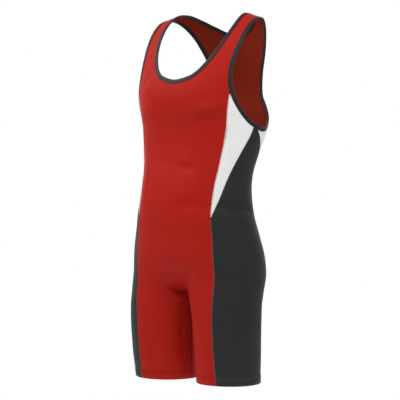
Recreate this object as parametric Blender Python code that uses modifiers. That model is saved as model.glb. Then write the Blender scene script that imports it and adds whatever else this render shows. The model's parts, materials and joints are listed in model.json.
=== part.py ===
"""Wrestling singlet in its worn shape, hollow, with nobody in it.

Two red panels, front and back, meet at the shoulders and along the insides of the legs.
Black side panels run from the armholes to the leg hems, with a white insert beside each
one in front and behind. Dark bindings finish the neck and the armholes.

Units are metres. +Z is up, the front faces -Y and +X is the wearer's left. The origin is
midway between the tops of the two shoulder straps.
"""

import math

import bpy
import numpy as np

# Cloth and seams
WALL = 0.0014
SEAM_GAP = 0.0003
SEAM_TRIM = 0.00022
ROLL_TRIM = 0.00035
BINDING_WIDTH = 0.009
BINDING_THICKNESS = 0.0028
BINDING_ROOT = 0.8
BINDING_LIP = 0.35
BLUNT_POINT = 0.93
MERGE_DISTANCE = 0.00005

# Heights of the main levels, measured from the strap tops
CROTCH_Z = -0.652
HIP_Z = -0.545
BUST_Z = -0.195
INSERT_TIP_Z = -0.470

# The shoulder, an arch from the bust level in front over the strap top to the back
STRAP_TOP_INNER_X = 0.094
STRAP_TOP_FALL = 1.2
FRONT_ARCH_POWERS = (2.0, 2.05)
BACK_ARCH_POWERS = (2.8, 3.0)
NECK_HOLLOW = 0.6
HOLLOW_FALL = 4
ARM_ANGLE = math.radians(64.0)
ARCH_RISE = -BUST_Z
QUARTER = math.pi / 2

# Rings of the body: height, half width, y of the side line, depth to the front and back
# of that line, and how square the ring is
BODY_COLUMNS = ("z", "half_width", "side_y", "front", "back", "power")
BODY_RINGS = (
    (-0.680, 0.1735, -0.0640, 0.109, 0.112, 2.2),
    (-0.652, 0.1730, -0.0590, 0.111, 0.115, 2.2),
    (-0.610, 0.1720, -0.0510, 0.114, 0.118, 2.2),
    (-0.560, 0.1675, -0.0525, 0.114, 0.114, 2.2),
    (-0.520, 0.1600, -0.0575, 0.108, 0.107, 2.2),
    (-0.475, 0.1500, -0.0620, 0.105, 0.101, 2.2),
    (-0.440, 0.1440, -0.0630, 0.102, 0.099, 2.2),
    (-0.402, 0.1410, -0.0610, 0.098, 0.096, 2.2),
    (-0.360, 0.1450, -0.0540, 0.094, 0.093, 2.2),
    (-0.315, 0.1560, -0.0450, 0.094, 0.098, 2.2),
    (-0.275, 0.1620, -0.0350, 0.101, 0.110, 2.2),
    (-0.235, 0.1640, -0.0360, 0.110, 0.126, 2.2),
    (-0.195, 0.1650, -0.0370, 0.115, 0.144, 2.2),
)

# Rings of one leg: height, x of its middle, half width, y of the side line, half depth
LEG_COLUMNS = ("z", "middle_x", "half_width", "side_y", "half_depth")
LEG_RINGS = (
    (-0.857, 0.0930, 0.0755, -0.0570, 0.0715),
    (-0.800, 0.0935, 0.0785, -0.0620, 0.0755),
    (-0.735, 0.0935, 0.0805, -0.0650, 0.0790),
    (-0.680, 0.0910, 0.0825, -0.0640, 0.0830),
    (-0.652, 0.0865, 0.0865, -0.0590, 0.0870),
    (-0.610, 0.0860, 0.0860, -0.0510, 0.0910),
    (-0.545, 0.0830, 0.0830, -0.0540, 0.0930),
)

# Side seams of the front and back panels: height and distance from the middle
SEAM_COLUMNS = ("z", "x")
FRONT_SEAM = (
    (-0.857, 0.1120),
    (-0.800, 0.1120),
    (-0.735, 0.1120),
    (-0.670, 0.1135),
    (-0.610, 0.1150),
    (-0.555, 0.1135),
    (-0.475, 0.1070),
    (-0.430, 0.1070),
    (-0.382, 0.1095),
    (-0.291, 0.1220),
    (-0.186, 0.1360),
)
BACK_SEAM = (
    (-0.857, 0.1060),
    (-0.735, 0.1070),
    (-0.670, 0.1100),
    (-0.610, 0.1140),
    (-0.555, 0.1125),
    (-0.475, 0.1060),
    (-0.382, 0.1070),
    (-0.300, 0.1235),
    (-0.252, 0.1337),
)

# Seams between the black side panel and the white inserts: height and the angle round
# the body, with 0 at the middle of the front, 90 at the side and 180 at the back
INSERT_COLUMNS = ("z", "angle")
FRONT_INSERT_SEAM = (
    (-0.470, 44.2),
    (-0.416, 56.5),
    (-0.357, 65.0),
    (-0.310, 72.0),
    (-0.2640, 81.0),
)
BACK_INSERT_SEAM = (
    (-0.470, 136.4),
    (-0.420, 130.0),
    (-0.370, 125.0),
    (-0.330, 114.5),
    (-0.300, 103.0),
    (-0.270, 88.5),
)

# Cut edges under the bindings: the same angle, and the height
EDGE_COLUMNS = ("angle", "z")
NECK_FRONT = (
    (0.0, -0.1640),
    (15.0, -0.1545),
    (21.0, -0.1435),
    (25.0, -0.1310),
    (30.4, -0.1080),
    (35.5, -0.0750),
    (37.8, -0.0500),
    (38.8, -0.0280),
    (37.8, 0.0),
)
NECK_BACK = (
    (142.6, 0.0),
    (147.3, -0.0085),
    (154.6, -0.0230),
    (163.0, -0.0370),
    (171.0, -0.0475),
    (180.0, -0.0510),
)
ARMHOLE_FRONT_UPPER = (
    (54.0, 0.0),
    (52.2, -0.0610),
    (49.6, -0.1150),
    (50.4, -0.1520),
    (53.4, -0.1860),
)
ARMHOLE_FRONT_LOWER = (
    (53.4, -0.1860),
    (58.3, -0.2120),
    (64.8, -0.2360),
    (73.0, -0.2550),
    (81.0, -0.2640),
)
ARMHOLE_BACK_LOWER = (
    (88.5, -0.2700),
    (100.0, -0.2740),
    (110.0, -0.2715),
    (119.0, -0.2630),
    (127.0, -0.2520),
)
ARMHOLE_BACK_UPPER = (
    (127.0, -0.2520),
    (138.0, -0.2350),
    (149.0, -0.2130),
    (155.0, -0.1950),
    (156.8, -0.1680),
    (155.2, -0.1340),
    (151.6, -0.1030),
    (145.0, -0.0600),
    (135.5, -0.0180),
    (127.0, 0.0),
)

# Rows of faces: how many between the named levels
LEG_LEVELS = (-0.857, -0.837, -0.802, -0.766, -0.732, -0.702, -0.678, -0.662)
CROTCH_STEPS = 6
BODY_LEVELS = (-0.520, -0.495, -0.470, -0.448, -0.425, -0.400, -0.375, -0.350, -0.328, -0.308)
INSERT_TOP_ROWS = 4
BACK_CORNER_ROW_Z = -0.286
BUST_ROWS_BELOW_NECK = 2
FRONT_STRAP_ROWS = 16
BACK_CENTRE_ROWS = 9
BACK_STRAP_ROWS = 12
PANEL_COLUMNS = 8
SIDE_COLUMNS = 10
INSERT_ACROSS = 3
SAMPLES = 48
EDGE_SAMPLES = 192
HALVINGS = 40
NORMAL_STEP = 0.002

# Finishes: base colour, roughness, metallic
FINISHES = {
    "red_knit": ((0.36, 0.017, 0.012), 0.55, 0.0),
    "black_knit": ((0.024, 0.026, 0.026), 0.55, 0.0),
    "white_knit": ((0.80, 0.80, 0.79), 0.60, 0.0),
    "binding_knit": ((0.030, 0.028, 0.029), 0.60, 0.0),
}
ON_MIDDLE = 0.000001


def clear_scene():
    """Remove every object that the scene holds."""
    for item in list(bpy.data.objects):
        bpy.data.objects.remove(item, do_unlink=True)


def smooth_value(rows, key, column):
    """Read a column of a table at a key, on a smooth curve through its rows."""
    keys = [row[0] for row in rows]
    values = [row[column] for row in rows]
    last = len(keys) - 1
    slopes = []
    for i in range(len(keys)):
        low = max(i - 1, 0)
        high = min(i + 1, last)
        slopes.append((values[high] - values[low]) / (keys[high] - keys[low]))
    key = min(max(key, keys[0]), keys[-1])
    i = min(int(np.searchsorted(keys, key, side="right")) - 1, last - 1)
    step = keys[i + 1] - keys[i]
    t = (key - keys[i]) / step
    start = values[i] * (1 + 2 * t) * (1 - t) ** 2 + slopes[i] * step * t * (1 - t) ** 2
    end = values[i + 1] * (3 - 2 * t) * t ** 2 - slopes[i + 1] * step * t ** 2 * (1 - t)
    return start + end


def read_row(rows, columns, z):
    """All the sizes of a table at a height, by the names of its columns."""
    return {name: smooth_value(rows, z, i) for i, name in enumerate(columns) if i}


def round_point(angle, power):
    """Point of a unit rounded square at an angle in radians, as its two coordinates."""
    across = math.sin(angle)
    along = math.cos(angle)
    reach = (abs(across) ** power + abs(along) ** power) ** (1 / power)
    return across / reach, along / reach


def body_ring(angle, z):
    """Point of a body ring, at an angle in radians from the middle of the front."""
    ring = read_row(BODY_RINGS, BODY_COLUMNS, z)
    across, along = round_point(angle, ring["power"])
    depth = ring["front"] if along > 0 else ring["back"]
    return np.array((ring["half_width"] * across, ring["side_y"] - depth * along, z))


def strap_top_z(x):
    """Height of the shoulder ridge, which falls away to the arm."""
    return STRAP_TOP_FALL * (STRAP_TOP_INNER_X ** 2 - x ** 2)


def arch_shares(angle, turn):
    """Share of the arch's rise and of its foot's depth at a turn, in front or behind."""
    start, end = FRONT_ARCH_POWERS if angle < QUARTER else BACK_ARCH_POWERS
    power = start + (end - start) * turn / QUARTER
    if angle < ARM_ANGLE:
        power -= NECK_HOLLOW * (1 - (angle / ARM_ANGLE) ** HOLLOW_FALL)
    return round_point(turn, power)


def arch_point(angle, turn):
    """Point above the bust: turn is 0 at the bust level and a quarter circle on top."""
    foot = body_ring(angle, BUST_Z)
    rise, depth = arch_shares(angle, turn)
    height = BUST_Z + (strap_top_z(foot[0]) - BUST_Z) * rise
    return np.array((foot[0], foot[1] * depth, height))


def leg_point(angle, z):
    """Point of the left leg: -90 degrees at the inside, 0 in front, 90 outside."""
    ring = read_row(LEG_RINGS, LEG_COLUMNS, z)
    x = ring["middle_x"] + ring["half_width"] * math.sin(angle)
    return np.array((x, ring["side_y"] - ring["half_depth"] * math.cos(angle), z))


def crotch_point(angle, z):
    """Point between hips and crotch, where one ring becomes two, by the leg's angle."""
    ring = read_row(BODY_RINGS, BODY_COLUMNS, z)
    leg = read_row(LEG_RINGS, LEG_COLUMNS, z)
    half = ring["half_width"] / 2
    x = half + half * math.sin(angle)
    across = min(x / ring["half_width"], 1)
    front = math.cos(angle) > 0
    outline = (1 - across ** ring["power"]) ** (1 / ring["power"])
    whole = outline * (ring["front"] if front else ring["back"])
    drop = min((HIP_Z - z) / (HIP_Z - CROTCH_Z), 1)
    roll = half * (1 - drop)
    rolled_x = x + (math.hypot(x, roll) - x) * (1 - across) ** 2
    parted = leg["half_depth"] * math.sqrt(max(1 - (rolled_x / half - 1) ** 2, 0))
    share = drop * drop * (3 - 2 * drop)
    depth = (1 - share) * whole + share * parted
    return np.array((x, ring["side_y"] - depth if front else ring["side_y"] + depth, z))


def cloth_point(place):
    """Point of the cloth's middle surface at a place: its zone, its angle and its level."""
    zone, angle, level = place
    if zone == "leg":
        return leg_point(angle, level) if level <= CROTCH_Z else crotch_point(angle, level)
    if level <= BUST_Z:
        return body_ring(angle, level)
    return arch_point(angle, (level - BUST_Z) / ARCH_RISE)


def cloth_normal(place):
    """Outward direction of the cloth at a place on the body."""
    zone, angle, level = place
    top = BUST_Z + ARCH_RISE * QUARTER
    low = min(level, top) - NORMAL_STEP
    high = min(level + NORMAL_STEP, top)
    right = cloth_point((zone, angle + NORMAL_STEP, low))
    across = right - cloth_point((zone, angle - NORMAL_STEP, low))
    along = cloth_point((zone, angle, high)) - cloth_point((zone, angle, low - NORMAL_STEP))
    normal = np.cross(across, along)
    return normal / np.linalg.norm(normal)


def edge_place(angle_degrees, z):
    """Place on the body from an angle in degrees and a height, 0 being the strap top."""
    angle = math.radians(angle_degrees)
    if z <= BUST_Z:
        return ("body", angle, z)
    top = strap_top_z(body_ring(angle, BUST_Z)[0])
    rise = 1.0 if z == 0 else min((z - BUST_Z) / (top - BUST_Z), 1.0)
    low, high = 0.0, QUARTER
    for _ in range(HALVINGS):
        turn = (low + high) / 2
        if arch_shares(angle, turn)[0] < rise:
            low = turn
        else:
            high = turn
    return ("body", angle, BUST_Z + ARCH_RISE * high)


def mix_places(first, second, share):
    """Place part of the way from one place to another in the same zone."""
    angle = first[1] + (second[1] - first[1]) * share
    return (first[0], angle, first[2] + (second[2] - first[2]) * share)


def cut_edge(rows, count, level_start=False, level_end=False):
    """Places along a smooth cut edge through a table's rows, count steps of one length."""
    corners = [dict(zip(EDGE_COLUMNS, row)) for row in rows]
    nodes = [edge_place(corner["angle"], corner["z"]) for corner in corners]
    angles = [node[1] for node in nodes]
    levels = [node[2] for node in nodes]
    keys = [0.0]
    for a, b in zip(nodes[:-1], nodes[1:]):
        keys.append(keys[-1] + float(np.linalg.norm(cloth_point(b) - cloth_point(a))))
    if level_start:
        keys = [-keys[1]] + keys
        angles = [2 * angles[0] - angles[1]] + angles
        levels = [levels[1]] + levels
    if level_end:
        keys.append(2 * keys[-1] - keys[-2])
        angles.append(2 * angles[-1] - angles[-2])
        levels.append(levels[-2])
    table = list(zip(keys, angles, levels))
    end = keys[-2] if level_end else keys[-1]
    dense = []
    for i in range(EDGE_SAMPLES + 1):
        key = end * i / EDGE_SAMPLES
        dense.append(("body", smooth_value(table, key, 1), smooth_value(table, key, 2)))
    return even_places(dense, count)


def even_places(places, count):
    """Pick count + 1 of a dense run of places, equally far apart along the cloth."""
    points = np.array([cloth_point(place) for place in places])
    lengths = np.concatenate(([0.0], np.cumsum(np.linalg.norm(np.diff(points, axis=0), axis=1))))
    picked = []
    for i in range(count + 1):
        target = lengths[-1] * i / count
        k = min(max(int(np.searchsorted(lengths, target)), 1), len(places) - 1)
        span = lengths[k] - lengths[k - 1]
        share = (target - lengths[k - 1]) / span if span > 0 else 0.0
        picked.append(mix_places(places[k - 1], places[k], share))
    return picked


def body_angle(x, z, back):
    """Angle round the body of the point at distance x from the middle."""
    ring = read_row(BODY_RINGS, BODY_COLUMNS, z)
    across = x / ring["half_width"]
    along = (1 - across ** ring["power"]) ** (1 / ring["power"])
    angle = math.atan2(across, along)
    return math.pi - angle if back else angle


def leg_angle(x, z, back):
    """Angle round the leg of the point at distance x from the middle of the garment."""
    if z <= CROTCH_Z:
        ring = read_row(LEG_RINGS, LEG_COLUMNS, z)
        angle = math.asin((x - ring["middle_x"]) / ring["half_width"])
    else:
        half = read_row(BODY_RINGS, BODY_COLUMNS, z)["half_width"] / 2
        angle = math.asin((x - half) / half)
    return math.pi - angle if back else angle


def seam_place(rows, z, back):
    """Place of a panel's side seam at a height."""
    x = read_row(rows, SEAM_COLUMNS, z)["x"]
    if z < HIP_Z:
        return ("leg", leg_angle(x, z, back), z)
    return ("body", body_angle(x, z, back), z)


def middle_place(z, back):
    """Place of a panel's inner edge: the inseam on a leg, else the middle line."""
    if z < HIP_Z:
        return ("leg", 3 * QUARTER if back else -QUARTER, z)
    return ("body", math.pi if back else 0.0, z)


def insert_place(rows, z):
    """Place of the seam between the side panel and an insert."""
    return ("body", math.radians(read_row(rows, INSERT_COLUMNS, z)["angle"]), z)


def common_levels():
    """Heights of the rows that every panel shares, from the hem to below the armhole."""
    rolled = []
    for i in range(CROTCH_STEPS + 1):
        turn = QUARTER * (CROTCH_STEPS - i) / CROTCH_STEPS
        rolled.append(HIP_Z - (HIP_Z - CROTCH_Z) * math.sin(turn))
    return list(LEG_LEVELS) + rolled + list(BODY_LEVELS)


def spread(start, end, count):
    """Numbers after start up to and with end, in count equal steps."""
    return [start + (end - start) * (i + 1) / count for i in range(count)]


def row_points(first, second, columns, trim_first, trim_second):
    """Points of one row between two places, equally spaced, trimmed back at its ends."""
    run = [cloth_point(mix_places(first, second, i / SAMPLES)) for i in range(SAMPLES + 1)]
    points = np.array(run)
    lengths = np.concatenate(([0.0], np.cumsum(np.linalg.norm(np.diff(points, axis=0), axis=1))))
    targets = np.linspace(trim_first, lengths[-1] - trim_second, columns + 1)
    return [np.array([np.interp(t, lengths, points[:, k]) for k in range(3)]) for t in targets]


def grid_mesh(name, rows, flip):
    """Open surface through rows of points, its faces turned outwards."""
    vertices = [tuple(point) for row in rows for point in row]
    width = len(rows[0])
    faces = []
    for i in range(len(rows) - 1):
        for j in range(width - 1):
            corner = i * width + j
            face = (corner, corner + 1, corner + width + 1, corner + width)
            faces.append(tuple(reversed(face)) if flip else face)
    mesh = bpy.data.meshes.new(name)
    mesh.from_pydata(vertices, [], faces)
    mesh.update()
    return mesh


def make_material(slot):
    """Principled material of one finish."""
    colour, roughness, metallic = FINISHES[slot]
    material = bpy.data.materials.new(slot)
    material.use_nodes = True
    shader = material.node_tree.nodes["Principled BSDF"]
    shader.inputs["Base Color"].default_value = (*colour, 1.0)
    shader.inputs["Roughness"].default_value = roughness
    shader.inputs["Metallic"].default_value = metallic
    material.diffuse_color = (*colour, 1.0)
    return material


def add_object(name, mesh, material, collection):
    """Link a mesh as a named object with its material."""
    item = bpy.data.objects.new(name, mesh)
    item.data.materials.append(material)
    item.data.shade_smooth()
    collection.objects.link(item)
    return item


def add_wall(item, mirrored):
    """Give an open surface its mirrored half, where it has one, and its thickness."""
    if mirrored:
        mirror = item.modifiers.new("other half", "MIRROR")
        mirror.merge_threshold = MERGE_DISTANCE
    wall = item.modifiers.new("cloth", "SOLIDIFY")
    wall.thickness = WALL
    wall.offset = 0.0


def panel_rows(seam, back, outer_top, inner_top):
    """Rows of a front or back half panel, from the hem to the shoulder."""
    rows = []
    for z in common_levels():
        inner_trim = ROLL_TRIM if z < CROTCH_Z else 0.0
        ends = (seam_place(seam, z, back), middle_place(z, back))
        rows.append(row_points(*ends, PANEL_COLUMNS, SEAM_TRIM, inner_trim))
    for step, (outer, inner) in enumerate(zip(outer_top, inner_top)):
        outer_trim = SEAM_TRIM if step < INSERT_TOP_ROWS + 1 else 0.0
        rows.append(row_points(outer, inner, PANEL_COLUMNS, outer_trim, 0.0))
    away = ROLL_TRIM if back else -ROLL_TRIM
    for point in rows[-1]:
        point[1] += away
    return rows


def square_middle(rows, z_free):
    """Put the middle line of a half panel exactly on the mirror plane, above a height."""
    for row in rows:
        if abs(row[-1][0]) < ON_MIDDLE and row[-1][2] > z_free:
            row[-1][0] = 0.0


def part_crotch(rows, back):
    """Draw the crotch end of the middle line back from the other panel."""
    count = len(LEG_LEVELS)
    rows[count][-1][0] = 0.0
    rows[count][-1][1] += ROLL_TRIM if back else -ROLL_TRIM


class Edges:
    """Places along every cut edge and seam that neighbouring pieces share."""

    def __init__(self):
        neck_rows = FRONT_STRAP_ROWS - BUST_ROWS_BELOW_NECK
        self.neck_front = cut_edge(NECK_FRONT, neck_rows, level_start=True)
        self.neck_back = cut_edge(NECK_BACK, BACK_STRAP_ROWS, level_end=True)
        self.armhole_front_upper = cut_edge(ARMHOLE_FRONT_UPPER, FRONT_STRAP_ROWS)
        self.armhole_front_lower = cut_edge(ARMHOLE_FRONT_LOWER, INSERT_TOP_ROWS)
        self.armhole_back_lower = cut_edge(ARMHOLE_BACK_LOWER, INSERT_TOP_ROWS)
        back_rows_count = BACK_CENTRE_ROWS + BACK_STRAP_ROWS
        self.armhole_back_upper = cut_edge(ARMHOLE_BACK_UPPER, back_rows_count)
        corner = self.armhole_front_lower[-1][2]
        self.front_levels = [corner] + spread(corner, FRONT_SEAM[-1][0], INSERT_TOP_ROWS)
        corner = BACK_CORNER_ROW_Z
        self.back_levels = [corner] + spread(corner, BACK_SEAM[-1][0], INSERT_TOP_ROWS)


def front_rows(edges):
    """Rows of the front half panel."""
    outer = [seam_place(FRONT_SEAM, z, False) for z in edges.front_levels]
    outer += list(reversed(edges.armhole_front_upper))[1:]
    start = FRONT_SEAM[-1][0]
    levels = edges.front_levels + spread(start, edges.neck_front[0][2], BUST_ROWS_BELOW_NECK)
    inner = [middle_place(z, False) for z in levels]
    inner += edges.neck_front[1:]
    return panel_rows(FRONT_SEAM, False, outer, inner)


def back_rows(edges):
    """Rows of the back half panel."""
    outer = [seam_place(BACK_SEAM, z, True) for z in edges.back_levels]
    outer += edges.armhole_back_upper[1:]
    start = BACK_SEAM[-1][0]
    levels = edges.back_levels + spread(start, edges.neck_back[-1][2], BACK_CENTRE_ROWS)
    inner = [middle_place(z, True) for z in levels]
    inner += list(reversed(edges.neck_back))[1:]
    return panel_rows(BACK_SEAM, True, outer, inner)


def side_rows(edges):
    """Rows of the left side panel."""
    rows = []
    for z in common_levels():
        if z < INSERT_TIP_Z:
            ends = (seam_place(FRONT_SEAM, z, False), seam_place(BACK_SEAM, z, True))
        else:
            ends = (insert_place(FRONT_INSERT_SEAM, z), insert_place(BACK_INSERT_SEAM, z))
        rows.append(row_points(*ends, SIDE_COLUMNS, SEAM_TRIM, SEAM_TRIM))
    ends = (edges.armhole_front_lower[-1], edges.armhole_back_lower[0])
    rows.append(row_points(*ends, SIDE_COLUMNS, SEAM_TRIM, SEAM_TRIM))
    return rows


def insert_rows(seam, insert_seam, levels, armhole, back):
    """Rows of a white insert, from its tip to its point at the armhole."""
    pairs = []
    for z in common_levels():
        if z >= INSERT_TIP_Z:
            pairs.append((seam_place(seam, z, back), insert_place(insert_seam, z)))
    pairs[0] = tuple(mix_places(pairs[0][k], pairs[1][k], 1 - BLUNT_POINT) for k in (0, 1))
    seam_side = [seam_place(seam, z, back) for z in levels]
    pairs += list(zip(seam_side, armhole))
    pairs[-1] = tuple(mix_places(pairs[-2][k], pairs[-1][k], BLUNT_POINT) for k in (0, 1))
    rows = []
    body_count = len(pairs) - INSERT_TOP_ROWS
    for step, (panel_side, other_side) in enumerate(pairs):
        other_trim = SEAM_TRIM if step < body_count else 0.0
        rows.append(row_points(panel_side, other_side, INSERT_ACROSS, SEAM_TRIM, other_trim))
    return rows


def mirrored(point):
    """The same point on the other side of the garment."""
    return np.array((-point[0], point[1], point[2]))


def handed(rows, sign):
    """Rows of the left piece, or the same rows on the right where the sign is negative."""
    return rows if sign > 0 else [[mirrored(point) for point in row] for row in rows]


def binding_mesh(name, places, left_and_right):
    """Closed band round an opening, outside the cut edge that its places follow."""
    points = [cloth_point(place) for place in places]
    normals = [cloth_normal(place) for place in places]
    if left_and_right:
        points += [mirrored(point) for point in reversed(points[1:-1])]
        normals += [mirrored(normal) for normal in reversed(normals[1:-1])]
    count = len(points)
    thick = BINDING_THICKNESS / 2
    outer = SEAM_GAP + BINDING_WIDTH
    section = (
        (SEAM_GAP, thick * BINDING_ROOT),
        (outer - thick, thick),
        (outer, thick * BINDING_LIP),
        (outer, -thick * BINDING_LIP),
        (outer - thick, -thick),
        (SEAM_GAP, -thick * BINDING_ROOT),
    )
    vertices = []
    for i in range(count):
        along = points[(i + 1) % count] - points[i - 1]
        side = np.cross(along, normals[i])
        side /= np.linalg.norm(side)
        for out, up in section:
            vertices.append(tuple(points[i] + side * out + normals[i] * up))
    size = len(section)
    faces = []
    for i in range(count):
        for j in range(size):
            a = i * size + j
            b = i * size + (j + 1) % size
            c = ((i + 1) % count) * size + (j + 1) % size
            d = ((i + 1) % count) * size + j
            faces.append((a, b, c, d))
    mesh = bpy.data.meshes.new(name)
    mesh.from_pydata(vertices, [], faces)
    mesh.update()
    return mesh


def neck_places(edges):
    """Places round the left half of the neck edge, from the back middle to the front."""
    return list(reversed(edges.neck_back)) + list(reversed(edges.neck_front[:-1]))


def armhole_places(edges):
    """Places round the armhole edge, down the back and up the front."""
    places = list(edges.armhole_front_upper)
    places += edges.armhole_front_lower[1:]
    places += edges.armhole_back_lower
    places += edges.armhole_back_upper[1:-1]
    return list(reversed(places))


def build_panel(name, rows, back, material, collection):
    """Build the front or the back panel from the rows of its left half."""
    part_crotch(rows, back)
    square_middle(rows, CROTCH_Z)
    add_wall(add_object(name, grid_mesh(name, rows, not back), material, collection), True)


def build_piece(name, rows, flip, material, collection):
    """Build a piece that lies on one side of the garment."""
    add_wall(add_object(name, grid_mesh(name, rows, flip), material, collection), False)


def build_armhole_binding(name, places, sign, material, collection):
    """Build the binding of one armhole."""
    mesh = binding_mesh(name, places, False)
    if sign < 0:
        for vertex in mesh.vertices:
            vertex.co.x = -vertex.co.x
        mesh.flip_normals()
    add_object(name, mesh, material, collection)


def main():
    """Build every piece of the singlet."""
    clear_scene()
    collection = bpy.data.collections.new("wrestling_singlet")
    bpy.context.scene.collection.children.link(collection)
    materials = {slot: make_material(slot) for slot in FINISHES}
    red, black, white = (materials[slot] for slot in ("red_knit", "black_knit", "white_knit"))
    binding = materials["binding_knit"]
    edges = Edges()

    build_panel("front_panel", front_rows(edges), False, red, collection)
    build_panel("back_panel", back_rows(edges), True, red, collection)

    side = side_rows(edges)
    front_armhole = list(reversed(edges.armhole_front_lower))
    back_armhole = edges.armhole_back_lower
    front = insert_rows(FRONT_SEAM, FRONT_INSERT_SEAM, edges.front_levels, front_armhole, False)
    back = insert_rows(BACK_SEAM, BACK_INSERT_SEAM, edges.back_levels, back_armhole, True)
    armhole = armhole_places(edges)
    for hand, sign in (("left", 1), ("right", -1)):
        left = sign > 0
        build_piece("side_panel_" + hand, handed(side, sign), not left, black, collection)
        build_piece("front_insert_" + hand, handed(front, sign), not left, white, collection)
        build_piece("back_insert_" + hand, handed(back, sign), left, white, collection)
        build_armhole_binding("armhole_binding_" + hand, armhole, sign, binding, collection)

    mesh = binding_mesh("neck_binding", neck_places(edges), True)
    add_object("neck_binding", mesh, binding, collection)


main()
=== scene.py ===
"""Looks of a wrestling singlet: knit panels, bindings, folded hems and stitching.

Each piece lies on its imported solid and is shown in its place. The form comes from the
same named sizes as the solids, with finer rows, soft creases, folded hems and thread.
Units are metres. +Z is up, the front faces -Y and +X is the wearer's left.
"""

import json
import logging
import math
from dataclasses import dataclass, field
from enum import Enum

import bmesh
import bpy
import numpy as np
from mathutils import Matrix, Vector


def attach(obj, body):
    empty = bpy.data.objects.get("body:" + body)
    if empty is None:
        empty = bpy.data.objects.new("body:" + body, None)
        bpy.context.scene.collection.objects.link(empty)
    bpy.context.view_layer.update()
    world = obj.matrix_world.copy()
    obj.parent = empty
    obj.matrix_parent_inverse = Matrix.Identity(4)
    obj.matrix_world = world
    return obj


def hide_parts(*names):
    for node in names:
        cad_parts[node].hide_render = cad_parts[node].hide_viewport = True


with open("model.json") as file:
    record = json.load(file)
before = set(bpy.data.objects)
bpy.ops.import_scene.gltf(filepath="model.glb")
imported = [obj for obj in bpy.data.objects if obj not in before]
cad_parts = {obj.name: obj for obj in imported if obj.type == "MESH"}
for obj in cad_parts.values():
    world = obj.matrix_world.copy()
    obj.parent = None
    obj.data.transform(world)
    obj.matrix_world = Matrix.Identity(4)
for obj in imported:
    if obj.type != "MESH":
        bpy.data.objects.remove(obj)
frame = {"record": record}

LOG = logging.getLogger("singlet")

# Heights of the main levels, measured from the strap tops
HEM_Z = -0.857
CROTCH_Z = -0.652
HIP_Z = -0.545
BUST_Z = -0.195
INSERT_TIP_Z = -0.470
BACK_CORNER_ROW_Z = -0.286

# The shoulder, an arch from the bust level in front over the strap top to the back
STRAP_TOP_INNER_X = 0.094
STRAP_TOP_FALL = 1.2
FRONT_ARCH_POWERS = (2.0, 2.05)
BACK_ARCH_POWERS = (2.8, 3.0)
NECK_HOLLOW = 0.6
ARM_ANGLE = math.radians(64.0)
ARCH_RISE = -BUST_Z
QUARTER = math.pi / 2

# How the change of slope at the bust level is softened
BUST_SOFTNESS = 0.024
BUST_FADE = 2.4
BUST_REACH = 0.045
BUST_KERNEL = ((-1.0, 0.1), (-0.5, 0.24), (0.0, 0.32), (0.5, 0.24), (1.0, 0.1))

# Heights of the rows between the named levels, and how many rows the solids have there
LEG_LEVELS = (-0.857, -0.837, -0.802, -0.766, -0.732, -0.702, -0.678, -0.662)
BODY_LEVELS = (-0.520, -0.495, -0.470, -0.448, -0.425, -0.400, -0.375, -0.350, -0.328, -0.308)
CROTCH_STEPS = 6
INSERT_TOP_ROWS = 4
BUST_ROWS_BELOW_NECK = 2
FRONT_STRAP_ROWS = 16
BACK_CENTRE_ROWS = 9
BACK_STRAP_ROWS = 12

# How much finer than the solids the cloth is built, and how closely lengths are measured
FINER = 4
ROW_SAMPLES = 64
EDGE_SAMPLES = 384
LINE_POINTS = 9
HALVINGS = 40
NORMAL_STEP = 0.002

# Nearness to the middle line, which the two halves share
ON_MIDDLE = 0.000001
NEAR_MIDDLE = 0.0005
MIRROR = np.array((-1.0, 1.0, 1.0))

# The middle of a leg at the hem, which the hem's puckers run round
LEG_MIDDLE_X = 0.093
LEG_MIDDLE_Y = -0.06


class Zone(Enum):
    """Which rings a place is measured on."""

    LEG = "leg"
    BODY = "body"


class Hand(Enum):
    """Side of the garment, as the wearer has it."""

    LEFT = 1
    RIGHT = -1

    @property
    def word(self) -> str:
        """Name of the side for a piece's name."""
        return self.name.lower()


class Face(Enum):
    """Front or back of the garment."""

    FRONT = "front"
    BACK = "back"


@dataclass(frozen=True)
class Table:
    """Short table of sizes with named columns, read on a smooth curve through its rows."""

    columns: tuple[str, ...]
    rows: tuple[tuple[float, ...], ...]

    def read(self, key: np.ndarray | float, column: str) -> np.ndarray:
        """Read a column at a key.

        Args:
            key: Where to read, in the units of the first column.
            column: Name of the column.

        Returns:
            The value on a smooth curve through the rows.
        """
        keys = np.array([row[0] for row in self.rows])
        values = np.array([row[self.columns.index(column)] for row in self.rows])
        slopes = np.empty_like(values)
        slopes[1:-1] = (values[2:] - values[:-2]) / (keys[2:] - keys[:-2])
        slopes[0] = (values[1] - values[0]) / (keys[1] - keys[0])
        slopes[-1] = (values[-1] - values[-2]) / (keys[-1] - keys[-2])
        key = np.clip(key, keys[0], keys[-1])
        i = np.clip(np.searchsorted(keys, key, side="right") - 1, 0, len(keys) - 2)
        step = keys[i + 1] - keys[i]
        t = (key - keys[i]) / step
        low = values[i] * (1 + 2 * t) * (1 - t) ** 2 + slopes[i] * step * t * (1 - t) ** 2
        high = values[i + 1] * (3 - 2 * t) * t**2 - slopes[i + 1] * step * t**2 * (1 - t)
        return low + high


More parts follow.
